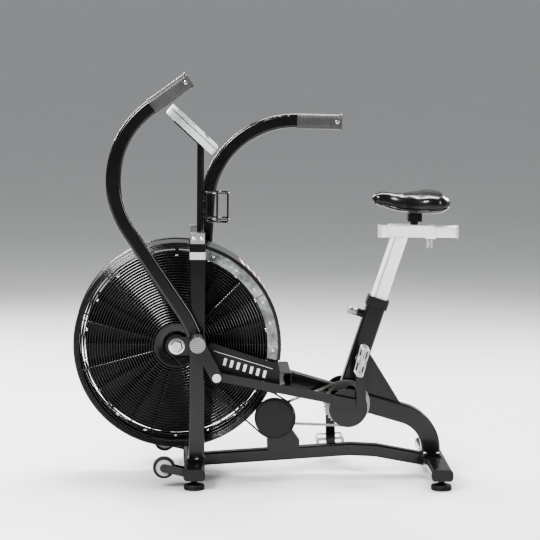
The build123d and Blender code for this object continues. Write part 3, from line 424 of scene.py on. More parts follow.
def moulded(name, colour, roughness, grains=700.0, depth=0.00015, dusting=0.3, coat=0.0, specks=0.03):
    """Moulded plastic, rubber or vinyl with a fine grain, scuffs and dust."""
    material, tree, shader, place = start_finish(name, colour, roughness, coat=coat, coat_roughness=0.12)
    grain = put(tree, "Pebble", None, Vector=place, Grains=grains)
    scuffs = put(tree, "Scuffs", None, Vector=place, Amount=0.6).outputs["Mask"]
    dust = put(tree, "Dust", None, Vector=place, Amount=dusting).outputs["Mask"]
    tone = mixed(tree, grain.outputs["Tone"], tuple(channel * 0.85 for channel in colour),
                 tuple(channel * 1.2 + specks * 0.1 for channel in colour))
    worn = mixed(tree, scuffs, tone, tuple(channel + specks for channel in colour))
    dusty = mixed(tree, times(tree, dust, 0.35), worn, (0.13, 0.125, 0.115))
    tree.links.new(dusty, shader.inputs["Base Color"])
    rough = mapped(tree, grain.outputs["Tone"], roughness * 0.8, min(1, roughness * 1.25), 0.3, 0.7)
    tree.links.new(times(tree, times(tree, dust, 0.2), rough, "ADD"), shader.inputs["Roughness"])
    bumped(tree, shader, grain.outputs["Height"], depth, 0.6)
    return material


bolt_plating = metal("bolt_plating", (0.66, 0.66, 0.65), 0.18)
black_plastic = moulded("black_plastic", (0.009, 0.009, 0.0095), 0.36)
black_rubber = moulded("black_rubber", (0.009, 0.009, 0.009), 0.62, grains=420.0, depth=0.0003)


def bolt(bm, seat, axis, size):
    """A washer and a hexagon head that stand along an axis from the face they sit on."""
    washer = size * 0.2
    turned(bm, [(0, size * 1.25), (size * 0.18, size * 1.25), (washer, size * 1.1)], seat, axis, 28)
    turned(bm, [(washer, size * 0.98), (size * 0.62, size * 0.98), (size * 0.74, size * 0.82)],
           seat, axis, 6)


head_share = 0.4
bm = bmesh.new()
for low, high in solids_of("frame_bolts"):
    reach = high - low
    thin = min(range(3), key=lambda axis: reach[axis])
    axis = Vector([float(direction == thin) for direction in range(3)])
    seat = (low + high) / 2 - axis * reach[thin] / 2
    if thin == 1 and seat.y < 0:
        seat, axis = seat + axis * reach[thin], -axis
    bolt(bm, seat, axis, max(reach) * head_share)
finish_piece(bm, "frame_bolt_heads", "frame", [bolt_plating], ("frame_bolts",), sharp=25)

rib_count = 4
rib_pitch = 0.003
bm = bmesh.new()
for low, high in solids_of("feet"):
    floor_point = Vector(((low.x + high.x) / 2, (low.y + high.y) / 2, 0))
    wide = (high.x - low.x) / 2
    tall = high.z
    shoe = [(0, wide * 0.9), (rib_pitch / 2, wide * 0.97)]
    for rib in range(1, rib_count + 1):
        shoe += [(rib * rib_pitch, wide), ((rib + 0.5) * rib_pitch, wide * 0.965)]
    shoe += [(0.016, wide * 0.93), (0.019, wide * 0.5), (tall * 0.7, wide * 0.3), (tall, wide * 0.27)]
    turned(bm, shoe, floor_point, (0, 0, 1), 56)
finish_piece(bm, "rubber_feet", "frame", [black_rubber], ("feet",))
finish_nodes(black_plastic, "stabilizer_caps", "post_collar", "jack_pulley")
finish_nodes(black_rubber, "belt")
finish_nodes(bolt_plating, "left_rod_bolt", "right_rod_bolt", "pedal_axles", "fan_axle", "crank_bearings",
             "crank_spindle")

bead_radius = 0.0032
bead_spacing = 0.004


def bead(bm, path, across):
    """A weld bead along a closed line: a round bar that swells and narrows with each ripple."""
    swept(bm, path, round_section(bead_radius), across, closed=True,
          sizes=[1 + 0.22 * sin(index * 2.1) for index in range(len(path))])


def ring_path(centre, radius, axis, steps=60):
    """Points round a circle about an axis."""
    axis = Vector(axis).normalized()
    across = axis.orthogonal().normalized()
    other = axis.cross(across)
    turns = [2 * pi * turn / steps for turn in range(steps)]
    return [Vector(centre) + (across * cos(turn) + other * sin(turn)) * radius for turn in turns]


def box_path(low, high, height):
    """Points round the outline of a level box, a few millimetres apart."""
    corners = [Vector((low[0], low[1], height)), Vector((high[0], low[1], height)),
               Vector((high[0], high[1], height)), Vector((low[0], high[1], height))]
    path = []
    for first, second in zip(corners, corners[1:] + corners[:1]):
        count = max(2, int((second - first).length / bead_spacing))
        path += [first.lerp(second, step / count) for step in range(count)]
    return path


upright_half = 0.025
upright_y = 0.125
foot_plate = 0.008
shell_half = 0.0262
shell_radius = 0.0275
crank_centre = pivot_of("crank_spin")
arm_pivot = pivot_of("left_arm_swing")
bm = bmesh.new()
for sign, upright in ((-1, "left_upright"), (1, "right_upright")):
    shell_end = crank_centre + Vector((0, sign * shell_half, 0))
    bead(bm, ring_path(shell_end, shell_radius, (0, 1, 0)), (0, 1, 0))
    low_corner = (arm_pivot.x - upright_half, sign * upright_y - upright_half)
    high_corner = (arm_pivot.x + upright_half, sign * upright_y + upright_half)
    bead(bm, box_path(low_corner, high_corner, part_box(upright)[0][2] + foot_plate), (0, 0, 1))
low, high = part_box("pedestal")
bead(bm, box_path((low[0] + 0.012, low[1] + 0.004), (high[0] - 0.012, high[1] - 0.004), low[2] + 0.012),
     (0, 0, 1))
finish_piece(bm, "weld_beads", "frame", [frame_paint])

# ---- Fan, cage and wind guard ----------------------------------------------------------------------
# A black bladed wheel behind round gloss-black wires: rings from the hub disc out to a rounded shoulder,
# welded to radial wires behind them and screwed round the edge. A smoky grey moulded guard with a
# printed rim covers the rear upper arc.
cage_paint = painted("cage_paint", (0.0045, 0.0045, 0.005), roughness=0.2, waves=600.0, dusting=0.2)
fan_paint = painted("fan_paint", (0.003, 0.003, 0.0035), roughness=0.4, dusting=0.3)
finish_nodes(fan_paint, "fan_wheel", "fan_hub")
finish_nodes(cage_paint, "drum_band")
fan_centre = pivot_of("fan_spin")
low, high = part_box("cage_sides")
drum_radius = (high[2] - low[2]) / 2
cage_face = high[1]
wire_radius = 0.0021
wire_middle = cage_face - wire_radius
ring_count = 28
first_ring = 0.078
last_ring = drum_radius - 0.018
# how far each ring of the rounded shoulder stands in from the drum's edge and back from the others
shoulder_rings = ((0.0135, 0.0006), (0.0095, 0.0018), (0.0058, 0.0036), (0.0028, 0.006))
spoke_count = 12
screw_count = 18
screw_inset = 0.04
screw_dome = [(0, 0.0058), (0.0012, 0.0058), (0.0022, 0.0042), (0.0027, 0.002)]
hub_disc = [(wire_middle - 0.004, 0.073), (wire_middle, 0.0735), (cage_face, 0.071), (cage_face, 0.048),
            (cage_face - 0.002, 0.045), (cage_face - 0.002, 0.028)]


def out_at(angle):
    """The direction at an angle in degrees in the side view, from the rear up towards the top."""
    return Vector((cos(radians(angle)), 0, sin(radians(angle))))


def wire_ring(bm, radius, distance):
    """One round wire ring of the cage, this far from the middle of the bike."""
    turned(bm, [(distance + a, radius + b) for a, b in round_section(wire_radius)], fan_centre,
           steps=112, closed=True)


bm = bmesh.new()
for sign in (-1, 1):
    for index in range(ring_count):
        wire_ring(bm, first_ring + index * (last_ring - first_ring) / (ring_count - 1), sign * wire_middle)
    for inset, back in shoulder_rings:
        wire_ring(bm, drum_radius - inset, sign * (wire_middle - back))
    for spoke in range(spoke_count):
        out = out_at(15 + 360 / spoke_count * spoke)
        base = fan_centre + Vector((0, sign * (wire_middle - 2 * wire_radius + 0.0004), 0))
        swept(bm, [base + out * 0.06, base + out * (drum_radius - 0.014),
                   base + out * (drum_radius - 0.005) - Vector((0, sign * 0.004, 0))],
              round_section(wire_radius), (0, 1, 0))
    turned(bm, [(sign * distance, radius) for distance, radius in hub_disc], fan_centre, steps=72)
    for screw in range(screw_count):
        spot = fan_centre + out_at(10 + 360 / screw_count * screw) * (drum_radius - screw_inset)
        seat = spot + Vector((0, sign * (wire_middle - 0.001), 0))
        turned(bm, screw_dome, seat, (0, sign, 0), 14, 1)
finish_piece(bm, "cage_wires", "frame", [cage_paint, bolt_plating], ("cage_sides",))

# the guard is clear smoky grey on its faces and dark along its rim
low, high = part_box("wind_guard")
guard_radius = high[0] - fan_centre.x
guard_plastic, tree, shader, place = start_finish("guard_plastic", (0.12, 0.125, 0.125), 0.2, coat=0.4)
spread = put(tree, "ShaderNodeVectorMath", {"operation": "SUBTRACT"})
tree.links.new(place, spread.inputs[0])
spread.inputs[1].default_value = fan_centre
flat = put(tree, "ShaderNodeVectorMath", {"operation": "MULTIPLY"})
tree.links.new(spread.outputs[0], flat.inputs[0])
flat.inputs[1].default_value = (1, 0, 1)
reach = put(tree, "ShaderNodeVectorMath", {"operation": "LENGTH"})
tree.links.new(flat.outputs[0], reach.inputs[0])
edge = mapped(tree, reach.outputs["Value"], 0.0, 1.0, guard_radius - 0.012, guard_radius - 0.009)
blotches = mapped(tree, noise_of(tree, place, 26.0, 6.0, 0.6), 0.0, 1.0, 0.35, 0.65)
smoky = mixed(tree, blotches, (0.08, 0.083, 0.083), (0.26, 0.27, 0.27))
dust = put(tree, "Dust", None, Vector=place, Amount=0.2).outputs["Mask"]
smoked = mixed(tree, edge, smoky, (0.006, 0.006, 0.006))
tree.links.new(mixed(tree, times(tree, dust, 0.4), smoked, (0.12, 0.12, 0.11)), shader.inputs["Base Color"])
tree.links.new(mapped(tree, blotches, 0.14, 0.3), shader.inputs["Roughness"])
bumped(tree, shader, put(tree, "Pebble", None, Vector=place, Grains=240.0).outputs["Height"], 0.00004, 0.4)
finish_nodes(guard_plastic, "wind_guard")

print_white = moulded("print_white", (0.62, 0.62, 0.61), 0.35, grains=900.0, depth=0.00003)
print_red = moulded("print_red", (0.35, 0.02, 0.02), 0.35, grains=900.0, depth=0.00003)
mark_count = 9
mark_half = 0.05
mark_slant = 1.2
# each white mark and the thin red one behind it: its first and last angle, and its finish
mark_parts = ((0, 2.7, 0), (2.9, 3.5, 1))
bm = bmesh.new()
for mark in range(mark_count):
    start = 13 + 4.5 * mark
    for first, last, finish in mark_parts:
        rings = []
        for step in range(5):
            share = step / 4
            across = Vector((0, mark_half * (2 * share - 1), 0))
            corners = ((first, -0.0005), (last, -0.0005), (last, 0.0006), (first, 0.0006))
            rings.append([bm.verts.new(fan_centre + across + out_at(start + mark_slant * share + angle)
                                       * (guard_radius + lift)) for angle, lift in corners])
        skinned(bm, rings, finish)
finish_piece(bm, "guard_prints", "frame", [print_white, print_red])

# a dark joint across each face of the guard, and the screws that hold it
joint_angle = 31
joint_half = 0.001
joint_inner = guard_radius - 0.0405
joint_length = 0.0395
guard_screws = (-3, 14, 27, 36, 52, 68)
bm = bmesh.new()
for sign in (-1, 1):
    face = sign * (high[1] + 0.0002)
    out = out_at(joint_angle)
    square = Vector((-out.z, 0, out.x)) * joint_half
    base = fan_centre + out * joint_inner
    tip = base + out * joint_length
    slab(bm, [(corner.x, corner.z) for corner in (base - square, tip - square, tip + square, base + square)],
         face - sign * 0.001, face + sign * 0.0004)
    for angle in guard_screws:
        spot = fan_centre + out_at(angle) * (guard_radius - 0.026) + Vector((0, face, 0))
        turned(bm, [(0, 0.0042), (0.0012, 0.0042), (0.002, 0.0026)], spot, (0, sign, 0), 16, 1)
finish_piece(bm, "guard_joint", "frame", [black_plastic, bolt_plating])

# ---- Side covers -----------------------------------------------------------------------------------
# Flat black moulded panels over the drive, each printed with a fine white line under its top edge, a
# row of slanted white bars and a thin red line.
finish_nodes(black_plastic, "side_covers")
cover_margin = 0.02
line_fall = 72 / 236
print_sunk = 0.0003
print_thickness = 0.0007
# each printed line: how far under the front of the top edge it starts, its height, and its finish
cover_lines = ((0.024, 0.0016, 0), (0.1, 0.0012, 1))
bar_count = 7
bar_step = 0.021
bar_shape = ((0, 0), (0.0095, -0.003), (0.0155, 0.02), (0.006, 0.023))
bm = bmesh.new()
for low, high in solids_of("side_covers"):
    sign = 1 if high.y > 0 else -1
    outer = max(abs(low.y), abs(high.y)) - print_sunk
    skin = (sign * outer, sign * (outer + print_thickness))
    start_x = low.x + cover_margin
    end_x = high.x - cover_margin
    fall = (end_x - start_x) * line_fall
    for drop, thick, finish in cover_lines:
        top = high.z - drop
        slab(bm, [(start_x, top), (end_x, top - fall), (end_x, top - fall - thick), (start_x, top - thick)],
             *skin, finish)
    for mark in range(bar_count):
        run = 0.028 + mark * bar_step
        base = high.z - 0.062 - run * line_fall
        slab(bm, [(start_x + run + x, base + z) for x, z in bar_shape], *skin)
finish_piece(bm, "cover_prints", "frame", [print_white, print_red])

# ---- Bands and plates on the uprights --------------------------------------------------------------
# A bright pressed silver plate with two screws closes each end of the bridge, a painted highlight where
# the black bridge end catches the light; a pale band is wrapped round each upright just below it.
pale_band = moulded("pale_band", (0.4, 0.4, 0.41), 0.3, grains=900.0, depth=0.00003)
# bright silver for the bridge's end plates: a painted highlight standing in for the lit end of the black
# bridge
highlight_silver = metal("highlight_silver", (0.72, 0.72, 0.72), 0.22, stretch=(0.1, 1, 1), stain=0.1)
band_low = -0.042
band_high = -0.018
plate_rise = 0.025
low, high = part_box("bridge")
bridge_end = high[1]
upright_middle = (low[0] + high[0]) / 2
bm = bmesh.new()
for sign in (-1, 1):
    plate_middle = Vector((upright_middle, 0, low[2] + plate_rise))
    slab(bm, rounded(0.046, 0.034, 0.004), sign * (bridge_end - 0.05), sign * (bridge_end + 0.0008), 0,
         Matrix.Translation(plate_middle))
    for x in (-0.013, 0.013):
        turned(bm, [(0, 0.0055), (0.0015, 0.0055), (0.0028, 0.0035)],
               plate_middle + Vector((x, sign * (bridge_end + 0.0006), 0)), (0, sign, 0), 18)
    band_y = sign * (bridge_end - upright_half)
    skinned(bm, [[bm.verts.new((upright_middle + a, band_y + b, low[2] + height))
                  for a, b in rounded(0.051, 0.051, 0.0065)] for height in (band_low, band_high)], 1)
finish_piece(bm, "bridge_highlight_plates", "frame", [highlight_silver, pale_band])

# ---- Drive -----------------------------------------------------------------------------------------
# A toothed ring and a small sprocket joined by a roller chain of paired plates and rollers, with a
# flat belt beside it, black crank webs and round-ended black arms and rods.
chain_steel = metal("chain_steel", (0.42, 0.41, 0.39), 0.3, fineness=500.0, stain=0.6)
rod_paint = painted("rod_paint", (0.005, 0.005, 0.0055), roughness=0.2, scuffing=0.7)
finish_nodes(rod_paint, "crank_webs", "crank_arms", "left_rod", "right_rod")
finish_nodes(chain_steel, "chainring", "jackshaft")
jack_centre = pivot_of("jack_spin")
low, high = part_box("chain")
chain_middle = Vector((0, (low[1] + high[1]) / 2, 0))
pitch = 0.0127
ring_radius = pitch / 2 / sin(pi / 36)
sprocket_radius = pitch / 2 / sin(pi / 12)
gap = crank_centre - jack_centre
distance = hypot(gap.x, gap.z)
heading = atan2(gap.z, gap.x)
lean_over = asin((ring_radius - sprocket_radius) / distance)
upper = heading + pi / 2 + lean_over
lower = heading - pi / 2 - lean_over
straight = distance * cos(lean_over)
big_arc = ring_radius * (pi + 2 * lean_over)
small_arc = sprocket_radius * (pi - 2 * lean_over)
chain_length = 2 * straight + big_arc + small_arc
links = round(chain_length / pitch)


def rim_point(centre, radius, turn):
    """The point of a wheel's rim at an angle in radians in the side view."""
    return centre + Vector((cos(turn), 0, sin(turn))) * radius


def chain_point(travel):
    """Where a roller is, this far along the chain from where its upper run leaves the sprocket."""
    if travel < straight:
        start = rim_point(jack_centre, sprocket_radius, upper)
        return start.lerp(rim_point(crank_centre, ring_radius, upper), travel / straight)
    travel -= straight
    if travel < big_arc:
        return rim_point(crank_centre, ring_radius, upper - travel / ring_radius)
    travel -= big_arc
    if travel < straight:
        start = rim_point(crank_centre, ring_radius, lower)
        return start.lerp(rim_point(jack_centre, sprocket_radius, lower), travel / straight)
    return rim_point(jack_centre, sprocket_radius, lower - (travel - straight) / sprocket_radius)


roller_half = 0.0036
roller_radius = 0.0021
plate_end = 0.0038
plate_thickness = 0.001
outer_plates = 0.0026
inner_plates = 0.0015
bm = bmesh.new()
spots = [chain_point(chain_length * link / links) + chain_middle for link in range(links)]
for link, spot in enumerate(spots):
    ahead = spots[(link + 1) % links]
    run = ahead - spot
    turned(bm, [(-roller_half, roller_radius), (roller_half, roller_radius)], spot, steps=10)
    plate = [(run.length / 2 * end + plate_end * cos(radians(turn)), plate_end * sin(radians(turn)))
             for end, start in ((1, -90), (-1, 90)) for turn in range(start, start + 181, 45)]
    place_link = sideways((spot + ahead) / 2, degrees(atan2(run.z, run.x)))
    inner_face = outer_plates if link % 2 else inner_plates
    for sign in (-1, 1):
        slab(bm, plate, sign * inner_face, sign * (inner_face + plate_thickness), 0, place_link)
finish_piece(bm, "roller_chain", "frame", [chain_steel], ("chain",))

# ---- Pedals ----------------------------------------------------------------------------------------
# Bright metal pedals: an open frame at each end of the hub, joined by two studded cross rails, with a
# web on each side of the hub.
pedal_metal = metal("pedal_metal", (0.6, 0.61, 0.62), 0.32, stretch=(0.3, 1, 1), fineness=700.0, stain=0.1)
rail_half = 0.004
rail_out = 0.041
stud_count = 6
stud_margin = 0.012
stud = [(0, 0.0022), (0.0022, 0.002), (0.003, 0.0011)]
for side_name, tilt in (("left", 76), ("right", 4)):
    low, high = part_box(f"{side_name}_pedal")
    half_width = (high[1] - low[1]) / 2
    hub = pivot_of(f"{side_name}_pedal_spin")
    hub.y = (low[1] + high[1]) / 2
    place_pedal = sideways(hub, tilt)
    bm = bmesh.new()
    turned(bm, [(-half_width, 0.0072), (-half_width, 0.0125), (half_width, 0.0125), (half_width, 0.0072)],
           hub, steps=28, closed=True)
    for side in (-1, 1):
        frame_y = side * (half_width - rail_half)
        swept(bm, [place_pedal @ Vector((a, frame_y, b)) for a, b in rounded(0.0885, 0.0195, 0.006)],
              rounded(0.008, 0.0045, 0.0015, 2), (0, 1, 0), closed=True)
        rail_x = side * rail_out
        slab(bm, [(rail_x + a, b) for a, b in rounded(0.008, 0.02, 0.003)], rail_half - half_width,
             half_width - rail_half, 0, place_pedal)
        for number in range(stud_count):
            stud_y = -half_width + stud_margin + number * 2 * (half_width - stud_margin) / (stud_count - 1)
            for top in (-1, 1):
                spot = place_pedal @ Vector((rail_x, stud_y, top * 0.0105))
                turned(bm, stud, spot, place_pedal.to_3x3() @ Vector((0, 0, top)), 8)
        slab(bm, [(side * 0.024 + a, b) for a, b in rounded(0.036, 0.006, 0.002)],
             -0.009, 0.009, 0, place_pedal)
    finish_piece(bm, f"{side_name}_pedal_cage", f"{side_name}_pedal", [pedal_metal],
                 (f"{side_name}_pedal",))

# ---- Grips, pegs and knobs -------------------------------------------------------------------------
# Ribbed sleeves on the arms' ends, with a flange at the open end and a bright pin through them, knurled
# bright pegs on the pivots, and turned knobs on the two pull pins.
grip_rubber = moulded("grip_rubber", (0.05, 0.05, 0.052), 0.36, grains=520.0, depth=0.0002, coat=0.2)
grip_half = 0.0735
grip_steps = 60
left_grip_angle = 36
swing = joints["left_arm_swing"]["range_deg"][1]
sizes = [0.94 if step % 4 in (1, 2) else 0.985 for step in range(grip_steps + 1)]
sizes[:2] = [1.02] * 2
sizes[-3:] = [1.06] * 3
for side_name, angle in (("left", left_grip_angle), ("right", left_grip_angle - swing)):
    low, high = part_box(f"{side_name}_grip")
    grip_middle = (Vector(low) + Vector(high)) / 2
    direction = out_at(angle)
    bm = bmesh.new()
    path = [grip_middle + direction * grip_half * (2 * step / grip_steps - 1)
            for step in range(grip_steps + 1)]
    swept(bm, path, rounded(0.0335, 0.0535, 0.0155, 5), (0, 1, 0), sizes=sizes)
    for sign in (-1, 1):
        spot = grip_middle + direction * 0.058 + Vector((0, sign * 0.0165, 0))
        turned(bm, [(0, 0.0062), (0.0006, 0.0062), (0.0013, 0.0045)], spot, (0, sign, 0), 20, 1)
    finish_piece(bm, f"{side_name}_grip_sleeve", f"{side_name}_arm", [grip_rubber, bolt_plating],
                 (f"{side_name}_grip",), sharp=60)


def knurled(name, colour, roughness, lines):
    """Turned metal with a diamond knurl pressed into it."""
    material, tree, shader, place = start_finish(name, colour, roughness, metallic=1.0)
    heights = []
    for turn in (0.62, -0.62):
        bands = put(tree, "ShaderNodeMapping", None, Vector=place, Rotation=(turn, turn, 0.0))
        wave = put(tree, "ShaderNodeTexWave", {"bands_direction": "Y"}, Vector=bands.outputs["Vector"],
                   Scale=lines, Distortion=0.0)
        heights.append(wave.outputs["Fac"])
    diamonds = times(tree, heights[0], heights[1])
    dust = put(tree, "Dust", None, Vector=place, Amount=0.3).outputs["Mask"]
    shade = noise_of(tree, place, 45.0)
    tone = mixed(tree, shade, tuple(channel * 0.75 for channel in colour), colour)
    # the knurl's grooves are mixed towards dark grey: painted shade in the recesses
    tree.links.new(mixed(tree, mapped(tree, diamonds, 0.0, 0.5, 0.5, 0.0), tone, (0.08, 0.08, 0.08)),
                   shader.inputs["Base Color"])
    tree.links.new(times(tree, times(tree, dust, 0.3), mapped(tree, shade, roughness * 0.8, roughness * 1.3),
                         "ADD"), shader.inputs["Roughness"])
    bumped(tree, shader, diamonds, 0.0005, 0.8)
    return material


finish_nodes(knurled("peg_knurl", (0.5, 0.5, 0.5), 0.3, 90.0), "foot_pegs")
finish_nodes(knurled("knob_knurl", (0.55, 0.55, 0.56), 0.26, 140.0), "post_pin", "carriage_pin")

# ---- Console and mast ------------------------------------------------------------------------------
# A two-part silver moulded case tilted towards the rider, with a dark window, rubber buttons and a dark
# line where its halves meet, on a slim black mast.
silver_plastic = moulded("silver_plastic", (0.46, 0.47, 0.48), 0.34, grains=900.0, depth=0.00006, coat=0.15)
finish_nodes(silver_plastic, "console_case", "console_bezel")
finish_nodes(moulded("button_rubber", (0.12, 0.12, 0.13), 0.55, grains=800.0), "button_1", "button_2",
             "button_3")
window, tree, shader, place = start_finish("console_window", (0.02, 0.025, 0.022), 0.12, coat=0.5)
cells = put(tree, "ShaderNodeTexBrick", {"offset": 0.0, "squash": 1.0}, Vector=place, Scale=55.0,
            Color1=(0.09, 0.11, 0.1, 1), Color2=(0.075, 0.095, 0.088, 1), Mortar=(0.03, 0.035, 0.033, 1))
dust = put(tree, "Dust", None, Vector=place, Amount=0.5).outputs["Mask"]
tree.links.new(mixed(tree, dust, cells.outputs["Color"], (0.2, 0.2, 0.19)), shader.inputs["Base Color"])
tree.links.new(mapped(tree, noise_of(tree, place, 60.0), 0.08, 0.2), shader.inputs["Roughness"])
bumped(tree, shader, cells.outputs["Fac"], 0.00002, 0.3)
finish_nodes(window, "console_screen")

low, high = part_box("console_case")
console_middle = (Vector(low) + Vector(high)) / 2
console_tilt = Matrix.Rotation(radians(42.5), 4, "Y")
console_up = console_tilt.to_3x3() @ Vector((0, 0, 1))
seam_height = 0.0112
place_seam = Matrix.Translation(console_middle + console_up * seam_height) @ console_tilt
bm = bmesh.new()
swept(bm, [place_seam @ Vector((a, b, 0)) for a, b in rounded(0.1948, 0.1698, 0.012, 5)],
      rounded(0.0022, 0.0014, 0.0004, 2), console_up, closed=True)
finish_piece(bm, "console_seam", "frame", [black_plastic])

# ---- Bottle holder ---------------------------------------------------------------------------------
# Gloss-black wire welded into two hoops round the bottle, six upright wires and a crossed floor, held
# off the mast by two small lugs.
wire_paint = painted("wire_paint", (0.01, 0.01, 0.011), roughness=0.15, waves=700.0, dusting=0.2)
low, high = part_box("bottle_holder")
holder_wire = 0.0024
wire_inset = 0.0025
bend_height = 0.0095
floor_level = low[2] + wire_inset
holder_radius = (high[1] - low[1]) / 2 - wire_inset
holder_axis = Vector((high[0] - holder_radius - wire_inset, 0, 0))


def up_to(height):
    """A step straight up to a height."""
    return Vector((0, 0, height))


bm = bmesh.new()
for height in (low[2] + 0.014, high[2] - wire_inset):
    swept(bm, ring_path(holder_axis + up_to(height), holder_radius, (0, 0, 1), 56),
          round_section(holder_wire), (0, 0, 1), closed=True)
for wire in range(3):
    turn = radians(30 + 60 * wire)
    out = Vector((cos(turn), sin(turn), 0)) * (holder_radius - 0.0002)
    # each bent wire as (distance out as a share, height), down one side and mirrored up the other
    half = [(1, high[2] - 0.001), (1, floor_level + bend_height)]
    for step in range(1, 6):
        corner = radians(90 * step / 5)
        half.append((1 - 0.22 * (1 - cos(corner)), floor_level + bend_height * (1 - sin(corner))))
    bend = half + [(-share, height) for share, height in reversed(half)]
    swept(bm, [holder_axis + out * share + up_to(height) for share, height in bend],
          round_section(holder_wire), Vector((0, 0, 1)).cross(out))
for share in (0.4, 0.75):
    lug = holder_axis + Vector((-holder_radius, 0, low[2] + (high[2] - low[2]) * share))
    swept(bm, [lug - Vector((0.008, 0, 0)), lug + Vector((0.002, 0, 0))],
          rounded(0.018, 0.014, 0.002), (0, 1, 0))
finish_piece(bm, "wire_holder", "frame", [wire_paint], ("bottle_holder",))

# ---- Seat post, rail and carriage ------------------------------------------------------------------
# Satin silver post and rail with long drawn lines, and a plain clamp under the saddle.
drawn_silver = metal("drawn_silver", (0.86, 0.87, 0.88), 0.42, stretch=(0.12, 1, 0.12), fineness=1100.0,
                     stain=0.1, bareness=0.55)
finish_nodes(drawn_silver, "seat_post", "seat_carriage")
finish_nodes(frame_paint, "saddle_clamp")
pale_hub = moulded("pale_hub", (0.4, 0.4, 0.4), 0.4)
finish_nodes(pale_hub, "rail_caps")
lean = Vector(joints["seat_post_slide"]["axis"]).normalized()
ahead = Vector((-lean.z, 0, lean.x))
root = crank_centre + Vector((0, 0, 0.016))
low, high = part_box("seat_post")
rail_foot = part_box("rail_caps")[0][2]
first = root + lean * ((low[2] + 0.02 - root.z) / lean.z)
last = root + lean * ((rail_foot - 0.004 - root.z) / lean.z)
bm = bmesh.new()
groove_lines = (0.0125, 0.0155)
for sign in (-1, 1):
    for offset in groove_lines:
        line = [point + ahead * offset + Vector((0, sign * 0.022, 0)) for point in (first, last)]
        swept(bm, line, rounded(0.0006, 0.0011, 0.0002, 2), (0, 1, 0))
finish_piece(bm, "post_groove", "seat_post", [black_plastic])

# ---- Transport wheels ------------------------------------------------------------------------------
# Small hard rubber tyres on pale moulded hubs.
tyre_profile = [(0.75, 0.72), (0.95, 0.85), (0.7, 0.97), (0.2, 1)]
hub_profile = [(0.8, 0.2), (0.95, 0.34), (0.6, 0.4), (0.62, 0.66), (0.85, 0.74)]


def wheel_outline(profile, half, radius):
    """A wheel's outline from shares of its half width and radius, and the same on its other side."""
    points = [(-half * out, radius * up) for out, up in profile]
    return points + [(-distance, up) for distance, up in reversed(points)]


for side_name in ("left", "right"):
    low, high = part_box(f"{side_name}_wheel")
    hub = pivot_of(f"{side_name}_wheel_spin")
    hub.y = (low[1] + high[1]) / 2
    half = (high[1] - low[1]) / 2
    radius = (high[2] - low[2]) / 2
    bm = bmesh.new()
    turned(bm, wheel_outline(tyre_profile, half, radius), hub, steps=56, closed=True)
    turned(bm, wheel_outline(hub_profile, half, radius), hub, steps=48, slot=1, closed=True)
    finish_piece(bm, f"{side_name}_tyre", f"{side_name}_wheel", [black_rubber, pale_hub],
                 (f"{side_name}_wheel",))

# ---- Saddle ----------------------------------------------------------------------------------------
# A foam-filled gloss black vinyl saddle: narrow nose, slight dip, raised back and a piped seam round
# its lower edge. A short cloth simulation blows up a cut shape, held still along its underside, so that
# it fills like real padding.
most_fill = 0.0035
crown_room = 0.004
fill_frames = 18
cloth_settings = (("quality", 6), ("mass", 0.3), ("use_pressure", True), ("uniform_pressure_force", 4),
                  ("tension_stiffness", 30), ("compression_stiffness", 30), ("shear_stiffness", 12),
                  ("bending_stiffness", 4), ("vertex_group_mass", "pan"))
low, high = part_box("saddle")
saddle_low, saddle_high = Vector(low), Vector(high)
saddle_size = saddle_high - saddle_low


def saddle_half_width(share):
    """Half the saddle's width at a share of its length, from the nose to the back."""
    nose = 0.026 * sqrt(max(0.0, 1 - (1 - min(1.0, share / 0.09)) ** 2))
    spread = (saddle_size.y / 2 - 0.028) * (0.5 - 0.5 * cos(pi * min(1.0, max(0.0, (share - 0.16) / 0.58))))
    back = sqrt(max(0.0, 1 - max(0.0, (share - 0.8) / 0.205) ** 2))
    return (nose + spread) * back


# share of the length from the nose, height of the underside and of the top over the clamp
saddle_line = [(0, 0.037, 0.051), (0.04, 0.026, 0.061), (0.12, 0.02, 0.066), (0.36, 0.007, 0.061),
               (0.55, 0.001, 0.066), (0.72, 0.001, 0.073), (0.86, 0.004, 0.071), (0.95, 0.013, 0.06),
               (1, 0.03, 0.045)]


def saddle_point(share, angle, out=0.0):
    """A point of the saddle's skin: at a share of its length, round its section from the right side up."""
    for first, last in zip(saddle_line, saddle_line[1:]):
        if share <= last[0]:
            break
    part = (share - first[0]) / (last[0] - first[0])
    part = part * part * (3 - 2 * part)
    base, top = (first[side] + (last[side] - first[side]) * part for side in (1, 2))
    half = max(0.006, saddle_half_width(share)) + out
    across, up = cos(angle), sin(angle)
    return Vector((saddle_low.x + 0.003 + (saddle_size.x - 0.006) * share,
                   half * abs(across) ** 0.62 * (1 if across > 0 else -1),
                   saddle_low.z + (base + top) / 2
                   + ((top - base) / 2 + out) * abs(up) ** 0.75 * (1 if up > 0 else -1)))


bm = bmesh.new()
rings = [[bm.verts.new(saddle_point(step / 40, 2 * pi * turn / 36)) for turn in range(36)]
         for step in range(41)]
skinned(bm, rings)
bmesh.ops.recalc_face_normals(bm, faces=bm.faces)
mesh = bpy.data.meshes.new("saddle_pad")
bm.to_mesh(mesh)
bm.free()
saddle_pad = bpy.data.objects.new("saddle_pad", mesh)
bpy.context.scene.collection.objects.link(saddle_pad)


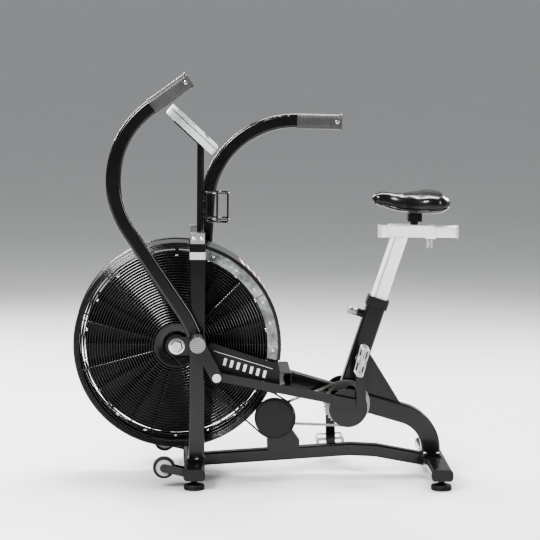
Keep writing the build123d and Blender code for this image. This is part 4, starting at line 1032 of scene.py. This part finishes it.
def apply_all(piece):
    """Turns what the modifiers make of a piece into its own mesh."""
    shown = piece.evaluated_get(bpy.context.evaluated_depsgraph_get())
    made = bpy.data.meshes.new_from_object(shown)
    piece.modifiers.clear()
    piece.data = made
    return made


remesh = saddle_pad.modifiers.new("even", "REMESH")
remesh.mode = "VOXEL"
remesh.voxel_size = 0.005
mesh = apply_all(saddle_pad)
start_shape = [vertex.co.copy() for vertex in mesh.vertices]
pan = saddle_pad.vertex_groups.new(name="pan")
pan.add([vertex.index for vertex in mesh.vertices if vertex.co.z < saddle_low.z + 0.01], 1.0, "REPLACE")
cloth = saddle_pad.modifiers.new("fill", "CLOTH")
for setting, value in cloth_settings:
    setattr(cloth.settings, setting, value)
cloth.settings.effector_weights.gravity = 0
cloth.collision_settings.use_collision = False
for frame_number in range(1, fill_frames + 1):
    bpy.context.scene.frame_set(frame_number)
    bpy.context.view_layer.update()
mesh = apply_all(saddle_pad)
for vertex, start in zip(mesh.vertices, start_shape):
    move = vertex.co - start
    if move.length > most_fill:
        vertex.co = start + move.normalized() * most_fill
bpy.context.scene.frame_set(1)
for vertex in mesh.vertices:
    for axis in range(3):
        top = saddle_high[axis] + (crown_room if axis == 2 else 0)
        vertex.co[axis] = min(max(vertex.co[axis], saddle_low[axis]), top)
smooth = saddle_pad.modifiers.new("round", "SUBSURF")
smooth.levels = smooth.render_levels = 1
mesh = apply_all(saddle_pad)
mesh.polygons.foreach_set("use_smooth", [True] * len(mesh.polygons))
saddle_vinyl = moulded("saddle_vinyl", (0.005, 0.005, 0.0055), 0.26, grains=380.0, depth=0.0001, coat=0.25,
                       dusting=0.12, specks=0.02)
mesh.materials.append(saddle_vinyl)
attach(saddle_pad, "seat_slider")
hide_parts("saddle")

bm = bmesh.new()
seam_path = [saddle_point(0.03 + 0.94 * step / 48, radians(-24), 0.0028) for step in range(49)]
seam_path += [Vector((point.x, -point.y, point.z)) for point in reversed(seam_path)]
swept(bm, seam_path, round_section(0.0016), (0, 0, 1), closed=True)
finish_piece(bm, "saddle_piping", "seat_slider", [saddle_vinyl])
